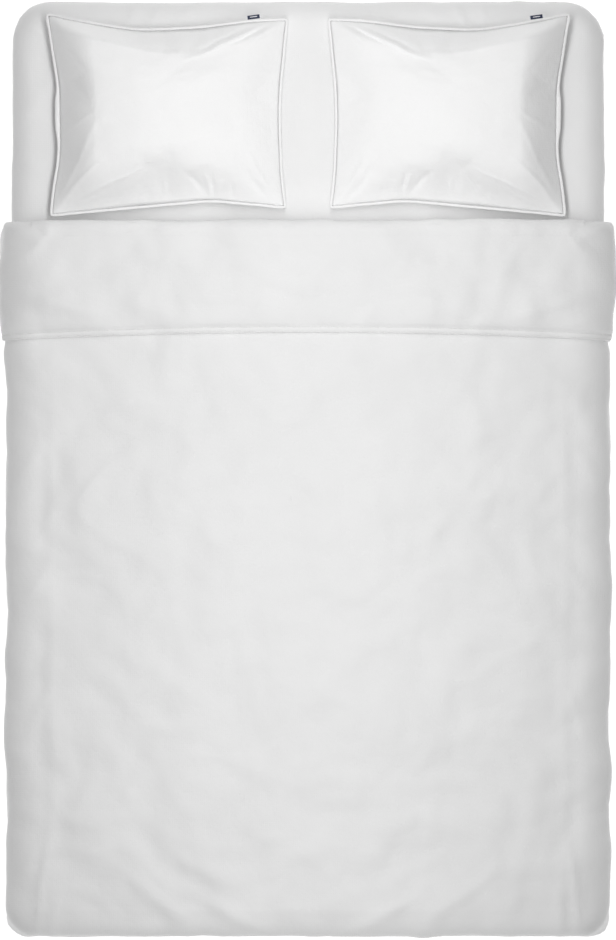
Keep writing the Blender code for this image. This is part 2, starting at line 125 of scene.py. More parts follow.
# Folds that show from above, the same on both sides of the bed's middle line. Each is its start
# and end, its width, its height and how far it bows. The first is a distance from the middle line
# and the second lies along the bed: from the foot's flat end for the duvet, and from the free edge
# for the turned-down end.
DUVET_FOLDS = (
    ((0.612, 0.17), (0.640, -0.07), 0.010, 0.0062, 0.006),
    ((0.585, 0.05), (0.600, -0.05), 0.010, 0.0030, 0.004),
    ((0.47, 0.11), (0.25, -0.05), 0.016, 0.0048, 0.008),
    ((0.29, 0.04), (0.05, -0.07), 0.014, 0.0052, 0.006),
    ((0.37, 0.14), (0.16, 0.03), 0.020, 0.0032, -0.010),
    ((0.60, 0.55), (0.67, 0.36), 0.012, 0.0028, 0.004),
    ((0.61, 0.82), (0.68, 0.70), 0.011, 0.0026, -0.004),
    ((0.62, 1.10), (0.69, 0.98), 0.012, 0.0030, 0.004),
)
BAND_FOLDS = (
    ((0.70, BAND_DEPTH + 0.03), (0.62, BAND_DEPTH - 0.03), 0.009, 0.0042, 0.004),
    ((0.60, BAND_DEPTH + 0.02), (0.68, BAND_DEPTH - 0.07), 0.009, 0.0042, -0.004),
    ((0.70, BAND_DEPTH - 0.12), (0.47, 0.045), 0.011, 0.0044, 0.008),
    ((0.70, BAND_DEPTH - 0.17), (0.60, 0.025), 0.010, 0.0034, 0.004),
    ((0.48, 0.050), (0.44, 0.012), 0.007, 0.0024, 0.002),
    ((0.45, 0.048), (0.41, 0.012), 0.007, 0.0024, 0.002),
    ((0.42, 0.046), (0.39, 0.012), 0.006, 0.0020, 0.002),
    ((0.48, BAND_DEPTH - 0.05), (0.20, BAND_DEPTH - 0.075), 0.010, 0.0022, 0.006),
    ((0.42, 0.10), (0.05, 0.085), 0.012, 0.0022, 0.004),
    ((0.25, BAND_DEPTH - 0.02), (-0.05, BAND_DEPTH - 0.03), 0.010, 0.0018, -0.003),
)


# Small mathematics


def smooth(x):
    """From 0 to 1 with soft ends."""
    x = np.clip(x, 0.0, 1.0)
    return x * x * (3 - 2 * x)


def rounded(x):
    """From 0 to 1 as a quarter circle rises."""
    return np.sqrt(1 - (1 - np.clip(x, 0.0, 1.0)) ** 2)


def bump(away, width):
    """1 where away is nought, fading to nothing within about two widths."""
    return np.exp(-((away / width) ** 2))


def noise(x, y, seed):
    """Smooth gradient noise between about -0.7 and 0.7, with one swell to a unit."""
    way = np.random.default_rng(seed).uniform(0, 2 * math.pi, (64, 64))
    x, y = np.broadcast_arrays(np.asarray(x, float), np.asarray(y, float))
    cell_x, cell_y = np.floor(x).astype(int), np.floor(y).astype(int)
    in_x, in_y = x - cell_x, y - cell_y

    def corner(right, up):
        angle = way[(cell_x + right) % 64, (cell_y + up) % 64]
        return np.cos(angle) * (in_x - right) + np.sin(angle) * (in_y - up)

    fade_x, fade_y = (f * f * f * (f * (f * 6 - 15) + 10) for f in (in_x, in_y))
    low = corner(0, 0) + fade_x * (corner(1, 0) - corner(0, 0))
    high = corner(0, 1) + fade_x * (corner(1, 1) - corner(0, 1))
    return low + fade_y * (high - low)


def ridge(u, v, start, end, width, height, bow=0.0):
    """A rounded fold from start to end, gone at both ends. bow bends it sideways halfway."""
    run_u, run_v = end[0] - start[0], end[1] - start[1]
    length = math.hypot(run_u, run_v)
    along = ((u - start[0]) * run_u + (v - start[1]) * run_v) / length**2
    inside = np.clip(along, 0, 1)
    arch = np.sin(math.pi * inside)
    away = ((v - start[1]) * run_u - (u - start[0]) * run_v) / length - bow * arch
    return height * arch * bump(away, width)


def folded(out, u, v, folds):
    """Adds each fold of a list to the cloth."""
    for fold in folds:
        out = out + ridge(u, v, *fold)
    return out


def creases(u, v, seed, pitch, width, height):
    """Thin crests along the lines where a noise is nought, in patches."""
    line = noise(u * pitch, v * pitch, seed)
    where = smooth(noise(u * pitch * 0.45, v * pitch * 0.45, seed + 1) * 2.2 + 0.35)
    return height * where * bump(line, width)


def rumpled(u, v, seed, cloth):
    """The soft loft of a filled cloth, with middling rumples and thin creases on it."""
    loft = noise(u * 3.4, v * 3.4, seed) * cloth.loft
    bent_u = u + 0.05 * noise(u * 4, v * 4, seed + 1)
    bent_v = v + 0.05 * noise(u * 4, v * 4, seed + 2)
    middling = noise(bent_u * 9, bent_v * 9, seed + 3) * cloth.rumple
    small = noise(bent_u * 19, bent_v * 19, seed + 4) * cloth.rumple * 0.35
    sharp = creases(bent_u, bent_v, seed + 5, 6.5, 0.09, cloth.crease)
    return loft + middling + small + sharp


# Cloth laid over the bed

SPOT_PARTS = ("x", "y", "way_x", "way_y", "turn", "run", "total")


def spots(x, y, way_x=0.0, way_y=0.0, turn=0.0, run=0.0, total=9.0):
    """Points of cloth: where each leaves the flat top, its way out, how far it runs and its edge's run."""
    given = (x, y, way_x, way_y, turn, run, total)
    parts = np.broadcast_arrays(*(np.asarray(part, float) for part in given))
    made = SimpleNamespace(**dict(zip(SPOT_PARTS, parts)))
    made.u = made.x + made.way_x * made.run
    made.v = made.y + made.way_y * made.run
    made.edge = made.total - made.run
    return made


def lean_of(spot):
    """How far the cloth turns down over the edge: straight at the sides, less at the foot."""
    return QUARTER + (FOOT_LEAN - QUARTER) * smooth(spot.turn / QUARTER)


def side_share(spot, margin=CORNER_MARGIN):
    """0 on the flat top and 1 where the cloth hangs straight."""
    return np.clip((spot.run - margin) / (EDGE_RADIUS + PLY) / lean_of(spot), 0, 1)


def lay(spot, offset, margin=CORNER_MARGIN, ply=PLY):
    """The places of points of cloth that lie offset out from the sheet."""
    lean, radius = lean_of(spot), EDGE_RADIUS + ply
    angle = np.clip((spot.run - margin) / radius, 0, lean)
    fallen = np.maximum(spot.run - margin - lean * radius, 0)
    reach = EDGE_RADIUS + offset
    out = np.minimum(spot.run, margin) + reach * np.sin(angle) + fallen * np.cos(angle)
    height = BED_TOP - EDGE_RADIUS + reach * np.cos(angle) - fallen * np.sin(angle)
    return np.stack([spot.x + spot.way_x * out, spot.y + spot.way_y * out, height], axis=-1)


def strip_spots(line, side_total, foot_total, rows, near_edge):
    """The points out from one line of stations, as a grid of stations by rows."""
    line = np.array(line)
    x, y, way_x, way_y, turn = (line[:, index, None] for index in range(5))
    total = side_total + (foot_total - side_total) * smooth(turn / QUARTER)
    inner = np.linspace(0, 1, rows + 1)[:-1] * (total - near_edge[-1])
    run = np.concatenate([inner, total - near_edge[::-1]], axis=1)
    return spots(x, y, way_x, way_y, turn, run, total)


def side_lines(xs, ys, foot, head, fan_steps=10):
    """The stations round the flat top: down the left side, round the foot and up the right side."""
    turns = np.linspace(0, QUARTER, fan_steps + 1)
    left = [(xs[0], y, -1, 0, 0) for y in ys[::-1]]
    right = [(xs[-1], y, 1, 0, 0) for y in ys]
    if not foot:
        return [left, right]
    level = 0 if head else 1
    line = left + [(xs[0], ys[0], -math.cos(t), -math.sin(t), t * level) for t in turns]
    line += [(x, ys[0], 0, -1, QUARTER * level) for x in xs]
    line += [(xs[-1], ys[0], math.sin(t), -math.cos(t), (QUARTER - t) * level) for t in turns]
    line += right
    if head:
        line += [(xs[-1], ys[-1], math.cos(t), math.sin(t), 0) for t in turns]
        line += [(x, ys[-1], 0, 1, 0) for x in xs[::-1]]
        line += [(xs[0], ys[-1], -math.sin(t), math.cos(t), 0) for t in turns]
    return [line]


def grid_faces(rows, columns, start=0):
    """The four-sided faces of a grid of points numbered row by row."""
    index = start + np.arange(rows * columns).reshape(rows, columns)
    return np.stack([index[:-1, :-1], index[:-1, 1:], index[1:, 1:], index[1:, :-1]], axis=-1).reshape(-1, 4)


def laid_out(xs, ys, side_total, foot_total=None, head=False, rows=28, near_edge=EDGE_ROWS):
    """All the points of a cloth over the bed, flattened, and the faces between them."""
    flat_x, flat_y = np.meshgrid(xs, ys)
    parts = [spots(flat_x.ravel(), flat_y.ravel())]
    faces = [grid_faces(len(ys), len(xs))]
    start = flat_x.size
    foot = foot_total is not None
    for line in side_lines(xs, ys, foot, head):
        strip = strip_spots(line, side_total, foot_total if foot else side_total, rows, near_edge)
        faces.append(grid_faces(*strip.run.shape, start))
        start += strip.run.size
        parts.append(strip)
    joined = [np.concatenate([getattr(part, key).ravel() for part in parts]) for key in SPOT_PARTS]
    return spots(*joined), np.concatenate(faces)


# Blender objects


def scene_object(name, mesh, look, body, place=None):
    """Adds a mesh to the scene with its finish, and rides it on its body."""
    made = bpy.data.objects.new(name, mesh)
    bpy.context.scene.collection.objects.link(made)
    mesh.materials.append(look)
    if place is not None:
        made.matrix_world = place
    if body:
        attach(made, body)
    return made


def mesh_from(name, points, faces, weld=1e-5, sharp=60.0):
    """A mesh whose points that coincide are joined, facing out, with its hard edges marked."""
    shape = bmesh.new()
    corners = [shape.verts.new(point) for point in np.asarray(points, float).tolist()]
    for face in faces:
        face = list(dict.fromkeys(int(index) for index in face))
        if len(face) > 2:
            shape.faces.new([corners[index] for index in face])
    bmesh.ops.remove_doubles(shape, verts=shape.verts, dist=weld)
    bmesh.ops.dissolve_degenerate(shape, edges=shape.edges, dist=weld / 10)
    loose = [corner for corner in shape.verts if not corner.link_faces]
    bmesh.ops.delete(shape, geom=loose, context="VERTS")
    bmesh.ops.recalc_face_normals(shape, faces=shape.faces)
    closed = all(edge.is_manifold for edge in shape.edges)
    if closed and shape.calc_volume(signed=True) < 0:
        bmesh.ops.reverse_faces(shape, faces=shape.faces)
    mesh = bpy.data.meshes.new(name)
    shape.to_mesh(mesh)
    shape.free()
    mesh.shade_smooth()
    if sharp:
        mesh.set_sharp_from_angle(angle=math.radians(sharp))
    return mesh


def closed_skin(name, over, under, faces):
    """Two plies on the same faces, which meet at every edge."""
    both = np.concatenate([faces, faces[:, ::-1] + len(over)])
    return mesh_from(name, np.concatenate([over, under]), both)


# The shapes of the duvet and its turned-down end


def duvet_raised(spot, cloth):
    """How far out the duvet's upper side lies, before its edges pinch in."""
    u, v, side = spot.u, spot.v, side_share(spot)
    out = OVER_TOP + (OVER_SIDE - OVER_TOP) * side
    # The filling keeps the top level to the foot's very edge, and squares the sides a little
    power = 2.25 + 1.1 * smooth(spot.turn / QUARTER)
    angle = side * lean_of(spot)
    squarer = (np.sin(angle) ** power + np.cos(angle) ** power) ** (-1 / power) - 1
    out = out + (EDGE_RADIUS + 0.022) * squarer
    # The turned-down hem presses a shallow hollow in front of it
    out = out - 0.0034 * bump(v - hem_line(u) + 0.005, 0.014)
    out = out + rumpled(u, v, 11, cloth) * (1 - 0.45 * side)
    # Hanging folds that open towards the side hems
    hang = smooth((spot.run - 0.06) / 0.26) * (1 - smooth(spot.turn / QUARTER))
    flutes = noise(v * 5.2 + 0.6 * noise(v * 2, u * 3, 31), spot.run * 2.2, 32)
    out = out + hang * flutes * cloth.flute
    # The soft shoulder along each side, and short folds that run down off it
    mirror = np.abs(u)
    shoulder = FLAT_X - 0.035 + 0.018 * noise(v * 2.3, np.sign(u) * 3, 33)
    out = out + 0.0022 * bump(mirror - shoulder, 0.014) * smooth(0.9 - v * 2)
    slant = noise(mirror * 5 + v * 7.5, v * 1.4 + np.sign(u) * 5, 34)
    out = out + 0.0030 * bump(mirror - FLAT_X + 0.05, 0.09) * slant
    return folded(out, mirror, v - FLAT_FOOT, DUVET_FOLDS)


def hem_line(u):
    """Where the turned-down hem ends along the bed: it bows a little towards the head halfway."""
    return FREE_EDGE + HEM_BOW * (1 - 2.2 * np.clip(np.abs(u) / FLAT_X, 0, 1.1) ** 2)


def grooves(edge):
    """How deep the two rows of stitches pull the cloth in, at a distance from a hem's edge."""
    return GROOVE_DEPTH * sum(bump(edge - row, GROOVE_WIDTH) for row in STITCH_ROWS)


def hem_half(edge, full, hem, roll=SEAM_ROLL):
    """Half the thickness near an edge: pinched to a seam, or flat over a stitched hem where hem is 1."""
    seam = full * rounded(edge / roll)
    flat = (HEM_HALF - grooves(edge)) * rounded(edge / 0.0018)
    stitched = flat + np.maximum(full - HEM_HALF, 0) * rounded((edge - HEM) / (roll * 1.3))
    return seam + (stitched - seam) * hem


def duvet_plies(spot, cloth):
    """The duvet's upper and lower offsets, meeting at its edges and at the fold."""
    over = duvet_raised(spot, cloth)
    middle = (over + UNDER) / 2
    hem = smooth((spot.turn - 0.35) / 0.8)
    half = hem_half(spot.edge, over - middle, hem)
    over, under = middle + half, middle - half
    return over, over - (over - under) * nose_left(spot)


def nose_left(spot):
    """How much of the thickness is left along the rounded nose: all of it at the fold's axis, none
    at its tip, and a little less where the fold piece covers it, on top of the bed."""
    nose = np.sqrt(1 - np.clip((spot.v - FOLD_Y) / NOSE, 0, 1) ** 2)
    covered = 1 - smooth((np.abs(spot.u) - (FLAT_X - 0.035)) / 0.035)
    return nose * (1 - 0.05 * covered * smooth((spot.v - FOLD_Y) / 0.008))


def band_raised(spot, cloth, along):
    """How far the turned-down end's upper side stands out from its lower side. along is how far the
    cloth runs from its free edge, over the fold's nose too."""
    side = side_share(spot)
    loft = BAND_TOP_LOFT + (BAND_SIDE_LOFT - BAND_TOP_LOFT) * side
    lift = rumpled(spot.u, along + 3.0, 51, cloth) * 0.85
    lift = lift + creases(spot.u * 0.35, along + 5.0, 57, 11, 0.10, 0.0016)
    lift = folded(lift, np.abs(spot.u), along, BAND_FOLDS)
    hang = smooth((spot.run - 0.06) / 0.26)
    lift = lift + hang * noise(along * 6 + 9, spot.run * 2.2, 58) * cloth.flute * 0.7
    return loft + lift


def bowed(spot):
    """The same points, moved along the bed so that their free edge follows the bowed hem."""
    move = (hem_line(spot.u) - FREE_EDGE) * smooth((FOLD_Y - 0.02 - spot.y) / (FOLD_Y - FREE_EDGE - 0.03))
    return spots(spot.x, spot.y + move, spot.way_x, spot.way_y, spot.turn, spot.run, spot.total)


def band_plies(spot, cloth):
    """The turned-down end's upper and lower offsets. It lies on the duvet's own upper side."""
    turned = np.clip((spot.v - FOLD_Y) / NOSE, 0, 1)
    fold_run = np.where(spot.v > FOLD_Y, FOLD_Y + NOSE * np.arcsin(turned), spot.v) - FREE_EDGE
    full = band_raised(spot, cloth, fold_run)
    free = spot.v - FREE_EDGE
    lower = duvet_raised(bowed(spot), cloth) + LAID
    flat = (BAND_HEM - grooves(free)) * rounded(free / 0.0030)
    thick = flat + np.maximum(full - BAND_HEM, 0) * rounded((free - HEM) / 0.075) ** 1.25
    pinch = hem_half(spot.edge, 1.0, 0.0)
    middle = lower + thick / 2
    over = middle + thick / 2 * pinch
    under = middle - thick / 2 * pinch
    return under + (over - under) * nose_left(spot), under


def steps(start, end, size):
    """Even steps of about a size from start to end."""
    return np.linspace(start, end, max(2, int(round(abs(end - start) / size)) + 1))


def nose_rows():
    """Rows from the fold's tip back to its axis, closer together towards the tip."""
    return FOLD_Y + NOSE * np.sin(np.linspace(0, QUARTER, 9))


# Materials


def linear(hex_colour):
    """Turns an sRGB hex colour to linear red, green, blue and alpha."""
    parts = [int(hex_colour[index : index + 2], 16) / 255 for index in (1, 3, 5)]
    return tuple(((p + 0.055) / 1.055) ** 2.4 if p > 0.04045 else p / 12.92 for p in parts) + (1.0,)


def add_node(tree, kind, inputs=None, **settings):
    """Adds a node, sets it up, and fills its inputs with values or links them to sockets. A node
    given as an input stands for its first output."""
    node = tree.nodes.new(kind)
    for name, value in settings.items():
        setattr(node, name, value)
    for socket, value in (inputs or {}).items():
        if isinstance(value, bpy.types.Node):
            value = value.outputs[0]
        if isinstance(value, bpy.types.NodeSocket):
            tree.links.new(value, node.inputs[socket])
        else:
            node.inputs[socket].default_value = value
    return node


def new_material(name, roughness, sheen=0.0, **sockets):
    """A named material with its shader's plain sockets set, and its tree and shader."""
    made = bpy.data.materials.new(name)
    made.use_nodes = True
    shader = made.node_tree.nodes["Principled BSDF"]
    shader.inputs["Roughness"].default_value = roughness
    shader.inputs["Sheen Weight"].default_value = sheen
    shader.inputs["Sheen Roughness"].default_value = 0.5
    for socket, value in sockets.items():
        shader.inputs[socket.replace("_", " ")].default_value = value
    return made, made.node_tree, shader


def woven_cotton(name, light, dark, thread_mm, fuzz=0.2, crumple=0.35):
    """Percale: fine cotton in plain weave, washed and not ironed. It shows as a dry matt white
    with a soft sheen, faint small crumples and a barely seen grid of threads. Real threads lie
    0.3 mm apart, too fine to show at this size, so the weave is drawn at thread_mm."""
    made, tree, shader = new_material(name, 0.82, fuzz)
    place = add_node(tree, "ShaderNodeTexCoord").outputs["Object"]
    turns = 2 * math.pi / (thread_mm / 1000)
    apart = add_node(tree, "ShaderNodeSeparateXYZ", {0: place})
    waves = []
    for axis in "XYZ":
        angle = add_node(
            tree, "ShaderNodeMath", {0: apart.outputs[axis], 1: turns}, operation="MULTIPLY"
        )
        waves.append(add_node(tree, "ShaderNodeMath", {0: angle}, operation="SINE"))
    pair = add_node(tree, "ShaderNodeMath", {0: waves[0], 1: waves[1]}, operation="ADD")
    weave = add_node(tree, "ShaderNodeMath", {0: pair, 1: waves[2]}, operation="ADD")
    slub = add_node(
        tree, "ShaderNodeTexNoise", {"Vector": place, "Scale": 38.0, "Detail": 5.0, "Roughness": 0.62}
    )
    patch = add_node(
        tree, "ShaderNodeTexNoise", {"Vector": place, "Scale": 7.0, "Detail": 3.0, "Roughness": 0.5}
    )
    mixed = add_node(
        tree, "ShaderNodeMix", {0: patch, 6: linear(dark), 7: linear(light)}, data_type="RGBA"
    )
    tree.links.new(mixed.outputs[2], shader.inputs["Base Color"])
    rough = add_node(tree, "ShaderNodeMapRange", {0: slub, 3: 0.74, 4: 0.9})
    tree.links.new(rough.outputs[0], shader.inputs["Roughness"])
    crumples = add_node(tree, "ShaderNodeBump", {"Height": slub, "Strength": crumple, "Distance": 0.004})
    threads = add_node(
        tree,
        "ShaderNodeBump",
        {"Height": weave, "Strength": 0.10, "Distance": 0.0003, "Normal": crumples},
    )
    tree.links.new(threads.outputs[0], shader.inputs["Normal"])
    return made


def ribbed(name, light, dark, rib_mm, axis, roughness, depth_mm=0.5, sheen=0.0):
    """Knitted or woven bands with a rib across them: light crests, and painted shade that darkens the
    grooves.
    """
    made, tree, shader = new_material(name, roughness, sheen)
    place = add_node(tree, "ShaderNodeTexCoord").outputs["Object"]
    wave = add_node(
        tree,
        "ShaderNodeTexWave",
        {"Vector": place, "Scale": math.pi / 10 / (rib_mm / 1000), "Distortion": 0.6, "Detail": 2.0},
        bands_direction=axis,
    )
    # The colour follows the rib's height: painted shade in the grooves
    mixed = add_node(
        tree, "ShaderNodeMix", {0: wave.outputs[1], 6: linear(dark), 7: linear(light)}, data_type="RGBA"
    )
    tree.links.new(mixed.outputs[2], shader.inputs["Base Color"])
    relief = add_node(
        tree,
        "ShaderNodeBump",
        {"Height": wave.outputs[1], "Strength": 0.6, "Distance": depth_mm / 1000},
    )
    tree.links.new(relief.outputs[0], shader.inputs["Normal"])
    return made


def pitted(name, light, dark, cell_mm, roughness, depth_mm=0.6):
    """Cut foam or knitted ticking: small round cells, with painted shade darkening their hollows."""
    made, tree, shader = new_material(name, roughness)
    place = add_node(tree, "ShaderNodeTexCoord").outputs["Object"]
    cells = add_node(
        tree, "ShaderNodeTexVoronoi", {"Vector": place, "Scale": 1000 / cell_mm}, feature="F1"
    )
    # The colour follows the cells' depth: painted shade in the hollows
    mixed = add_node(
        tree, "ShaderNodeMix", {0: cells, 6: linear(light), 7: linear(dark)}, data_type="RGBA"
    )
    tree.links.new(mixed.outputs[2], shader.inputs["Base Color"])
    relief = add_node(
        tree,
        "ShaderNodeBump",
        {"Height": cells, "Strength": 0.5, "Distance": depth_mm / 1000},
        invert=True,
    )
    tree.links.new(relief.outputs[0], shader.inputs["Normal"])
    return made


def looks():
    """Every finish on the bed, made once and kept by name."""
    finish = bpy.context.scene.bed_finish
    makers = {
        "washed_percale_cotton_cover": lambda name: woven_cotton(
            name, finish.cover_light, finish.cover_dark, finish.thread
        ),
        "washed_percale_cotton_pillowcase": lambda name: woven_cotton(
            name, finish.pillow_light, finish.pillow_dark, finish.thread, crumple=0.45
        ),
        "stretched_percale_cotton_sheet": lambda name: woven_cotton(
            name, finish.sheet_light, finish.sheet_dark, finish.thread, fuzz=0.12, crumple=0.2
        ),
        "downproof_cotton_insert": lambda name: woven_cotton(
            name, finish.insert_light, finish.insert_dark, finish.thread, fuzz=0.1
        ),
        "mercerised_cotton_thread": lambda name: ribbed(
            name, "#FAFAF8", "#E4E4E0", 1.2, "DIAGONAL", 0.55, 0.2, 0.1
        ),
        "woven_navy_ribbon": navy_ribbon,
        "knitted_polyester_ticking": lambda name: pitted(name, "#E2E2DE", "#C9C9C4", 6.0, 0.9),
        "woven_edge_tape": lambda name: ribbed(name, "#C4C4BE", "#A2A29C", 4.0, "Z", 0.8),
        "cut_polyurethane_foam": lambda name: pitted(name, "#E9DDB4", "#CDBB85", 5.0, 0.95),
        "spunbond_spring_pockets": lambda name: pitted(name, "#C2C7CC", "#9CA3AA", 9.0, 0.85),
        "braided_elastic": lambda name: ribbed(name, "#DADAD6", "#B8B8B2", 3.0, "X", 0.75),
        "moulded_pearl_polyester_button": pearl,
    }

    def look(name):
        return bpy.data.materials.get(name) or makers[name](name)

    return look


def navy_ribbon(name):
    """Woven polyester ribbon, folded and sewn in: navy with a fine cross rib, a bound white
    edge at both ends and one plain pale line. It gives a small crisp dark tab with light ends."""
    made, tree, shader = new_material(name, 0.6, 0.15)
    place = add_node(tree, "ShaderNodeTexCoord").outputs["Object"]
    apart = add_node(tree, "ShaderNodeSeparateXYZ", {0: place})
    across = add_node(tree, "ShaderNodeMath", {0: apart.outputs["X"]}, operation="ABSOLUTE")
    ends = add_node(tree, "ShaderNodeMath", {0: across, 1: 0.0145}, operation="GREATER_THAN")
    line = add_node(
        tree, "ShaderNodeMath", {0: apart.outputs["Y"], 1: 0.0050, 2: 0.0009}, operation="COMPARE"
    )
    short = add_node(tree, "ShaderNodeMath", {0: across, 1: 0.0085}, operation="LESS_THAN")
    mark = add_node(tree, "ShaderNodeMath", {0: line, 1: short}, operation="MULTIPLY")
    pale = add_node(tree, "ShaderNodeMath", {0: mark, 1: ends}, operation="MAXIMUM")
    mixed = add_node(
        tree,
        "ShaderNodeMix",
        {0: pale, 6: linear("#1C2743"), 7: linear("#E6E7EA")},
        data_type="RGBA",
    )
    tree.links.new(mixed.outputs[2], shader.inputs["Base Color"])
    rib = add_node(
        tree, "ShaderNodeTexWave", {"Vector": place, "Scale": math.pi / 10 / 0.0012}, bands_direction="X"
    )
    relief = add_node(
        tree, "ShaderNodeBump", {"Height": rib.outputs[1], "Strength": 0.4, "Distance": 0.0002}
    )
    tree.links.new(relief.outputs[0], shader.inputs["Normal"])
    return made


def pearl(name):
    """Cast polyester with a pearl effect, turned and polished: pale, glossy, faintly clouded."""
    made, tree, shader = new_material(name, 0.25, Coat_Weight=0.5, Coat_Roughness=0.1, IOR=1.55)
    place = add_node(tree, "ShaderNodeTexCoord").outputs["Object"]
    cloud = add_node(
        tree, "ShaderNodeTexNoise", {"Vector": place, "Scale": 260.0, "Detail": 3.0, "Distortion": 1.5}
    )
    mixed = add_node(
        tree,
        "ShaderNodeMix",
        {0: cloud, 6: linear("#D6D1C4"), 7: linear("#F3F0E8")},
        data_type="RGBA",
    )
    tree.links.new(mixed.outputs[2], shader.inputs["Base Color"])
    return made


# Settings


class BedCloth(bpy.types.PropertyGroup):
    """How soft and how rumpled the duvet is."""

    loft: FloatProperty(
        name="Loft", description="Height of the broad swells", default=0.0040, unit="LENGTH"
    )
    rumple: FloatProperty(
        name="Rumples", description="Height of the middling rumples", default=0.0125, unit="LENGTH"
    )
    crease: FloatProperty(
        name="Creases", description="Height of the thin creases", default=0.0019, unit="LENGTH"
    )
    flute: FloatProperty(
        name="Flutes", description="Depth of the hanging folds", default=0.0075, unit="LENGTH"
    )
    cell: FloatProperty(
        name="Cell", description="Size of the cover's mesh cells", default=0.0085, unit="LENGTH"
    )


class BedPillow(bpy.types.PropertyGroup):
    """The flat bag that each pillow is blown up from, and how it is blown up."""

    length: FloatProperty(
        name="Length", description="Flat case across the bed", default=0.60, unit="LENGTH"
    )
    width: FloatProperty(name="Width", description="Flat case along the bed", default=0.50, unit="LENGTH")
    cell: FloatProperty(
        name="Cell", description="Size of the bag's mesh cells", default=0.0085, unit="LENGTH"
    )
    pressure: FloatProperty(name="Pressure", description="Pressure of the filling", default=4.0, min=0.0)
    draw_in: FloatProperty(
        name="Draw-in", description="How much of the blown-up cloth's sideways movement is kept", default=0.36
    )
    squareness: FloatProperty(name="Squareness", description="Share of a steep-sided top", default=0.74)
    droop: FloatProperty(name="Droop", description="How far the seam sinks", default=0.014, unit="LENGTH")
    frames: IntProperty(name="Frames", description="How long the bag is blown up", default=40, min=1)


class BedFinish(bpy.types.PropertyGroup):
    """Colours as sRGB hex values, and the weave's scale."""

    cover_light: StringProperty(name="Cover, light", description="Cotton in full light", default="#F4F4F4")
    cover_dark: StringProperty(
        name="Cover, dark", description="Cotton in its duller patches", default="#EDEDED"
    )
    pillow_light: StringProperty(name="Pillow, light", description="Pillowcases", default="#FDFDFD")
    pillow_dark: StringProperty(
        name="Pillow, dark", description="Pillowcases' duller patches", default="#F6F6F6"
    )
    sheet_light: StringProperty(name="Sheet, light", description="Fitted sheet", default="#F8F8F8")
    sheet_dark: StringProperty(
        name="Sheet, dark", description="Fitted sheet's duller patches", default="#F1F1F1"
    )
    insert_light: StringProperty(name="Insert, light", description="Duvet's own shell", default="#EEEDE9")
    insert_dark: StringProperty(
        name="Insert, dark", description="Shell's duller patches", default="#E2E1DC"
    )
    thread: FloatProperty(
        name="Thread", description="Drawn pitch of the weave, in mm", default=5.0, min=0.5
    )


class BedStage(bpy.types.PropertyGroup):
    """The camera's height and framing, and the strength of the lights."""

    camera_height: FloatProperty(
        name="Camera height", description="Above the bed's top", default=18.0, unit="LENGTH"
    )
    view_length: FloatProperty(
        name="View length", description="Length of bed that the view takes in", default=2.227, unit="LENGTH"
    )
    view_y: FloatProperty(name="View middle", description="Along the bed", default=-0.009, unit="LENGTH")
    sky: FloatProperty(name="Sky", description="Light from all round", default=0.36, min=0.0)
    lamp: FloatProperty(name="Lamp", description="Power of the long soft lamp", default=21.6, unit="POWER")
    lamp_height: FloatProperty(
        name="Lamp height", description="Above the bed's top", default=1.35, unit="LENGTH"
    )
    lamp_y: FloatProperty(name="Lamp middle", description="Along the bed", default=0.4, unit="LENGTH")
    floor_glow: FloatProperty(
        name="Floor glow", description="The lit floor's own light", default=0.66, min=0.0
    )


# Operators


class BedOperator:
    bl_options = {"REGISTER", "UNDO"}

    @property
    def cloth(self):
        return bpy.context.scene.bed_cloth


class DRESSED_BED_OT_mattress(BedOperator, bpy.types.Operator):
    """Gives the mattress, topper and elastic, which the frame holds already, their real finishes"""

    bl_idname = "dressed_bed.mattress"
    bl_label = "Mattress and topper"

    FINISHES = (
        ("ticking", "knitted_polyester_ticking"),
        ("topper_cover", "knitted_polyester_ticking"),
        ("tape_edge", "woven_edge_tape"),
        ("foam", "cut_polyurethane_foam"),
        ("spring_core", "spunbond_spring_pockets"),
        ("elastic", "braided_elastic"),
    )

    def execute(self, context):
        look = looks()
        for name, node in frame["nodes"].items():
            for part, finish in self.FINISHES:
                if part in name:
                    node.material_slots[0].material = look(finish)
        return {"FINISHED"}


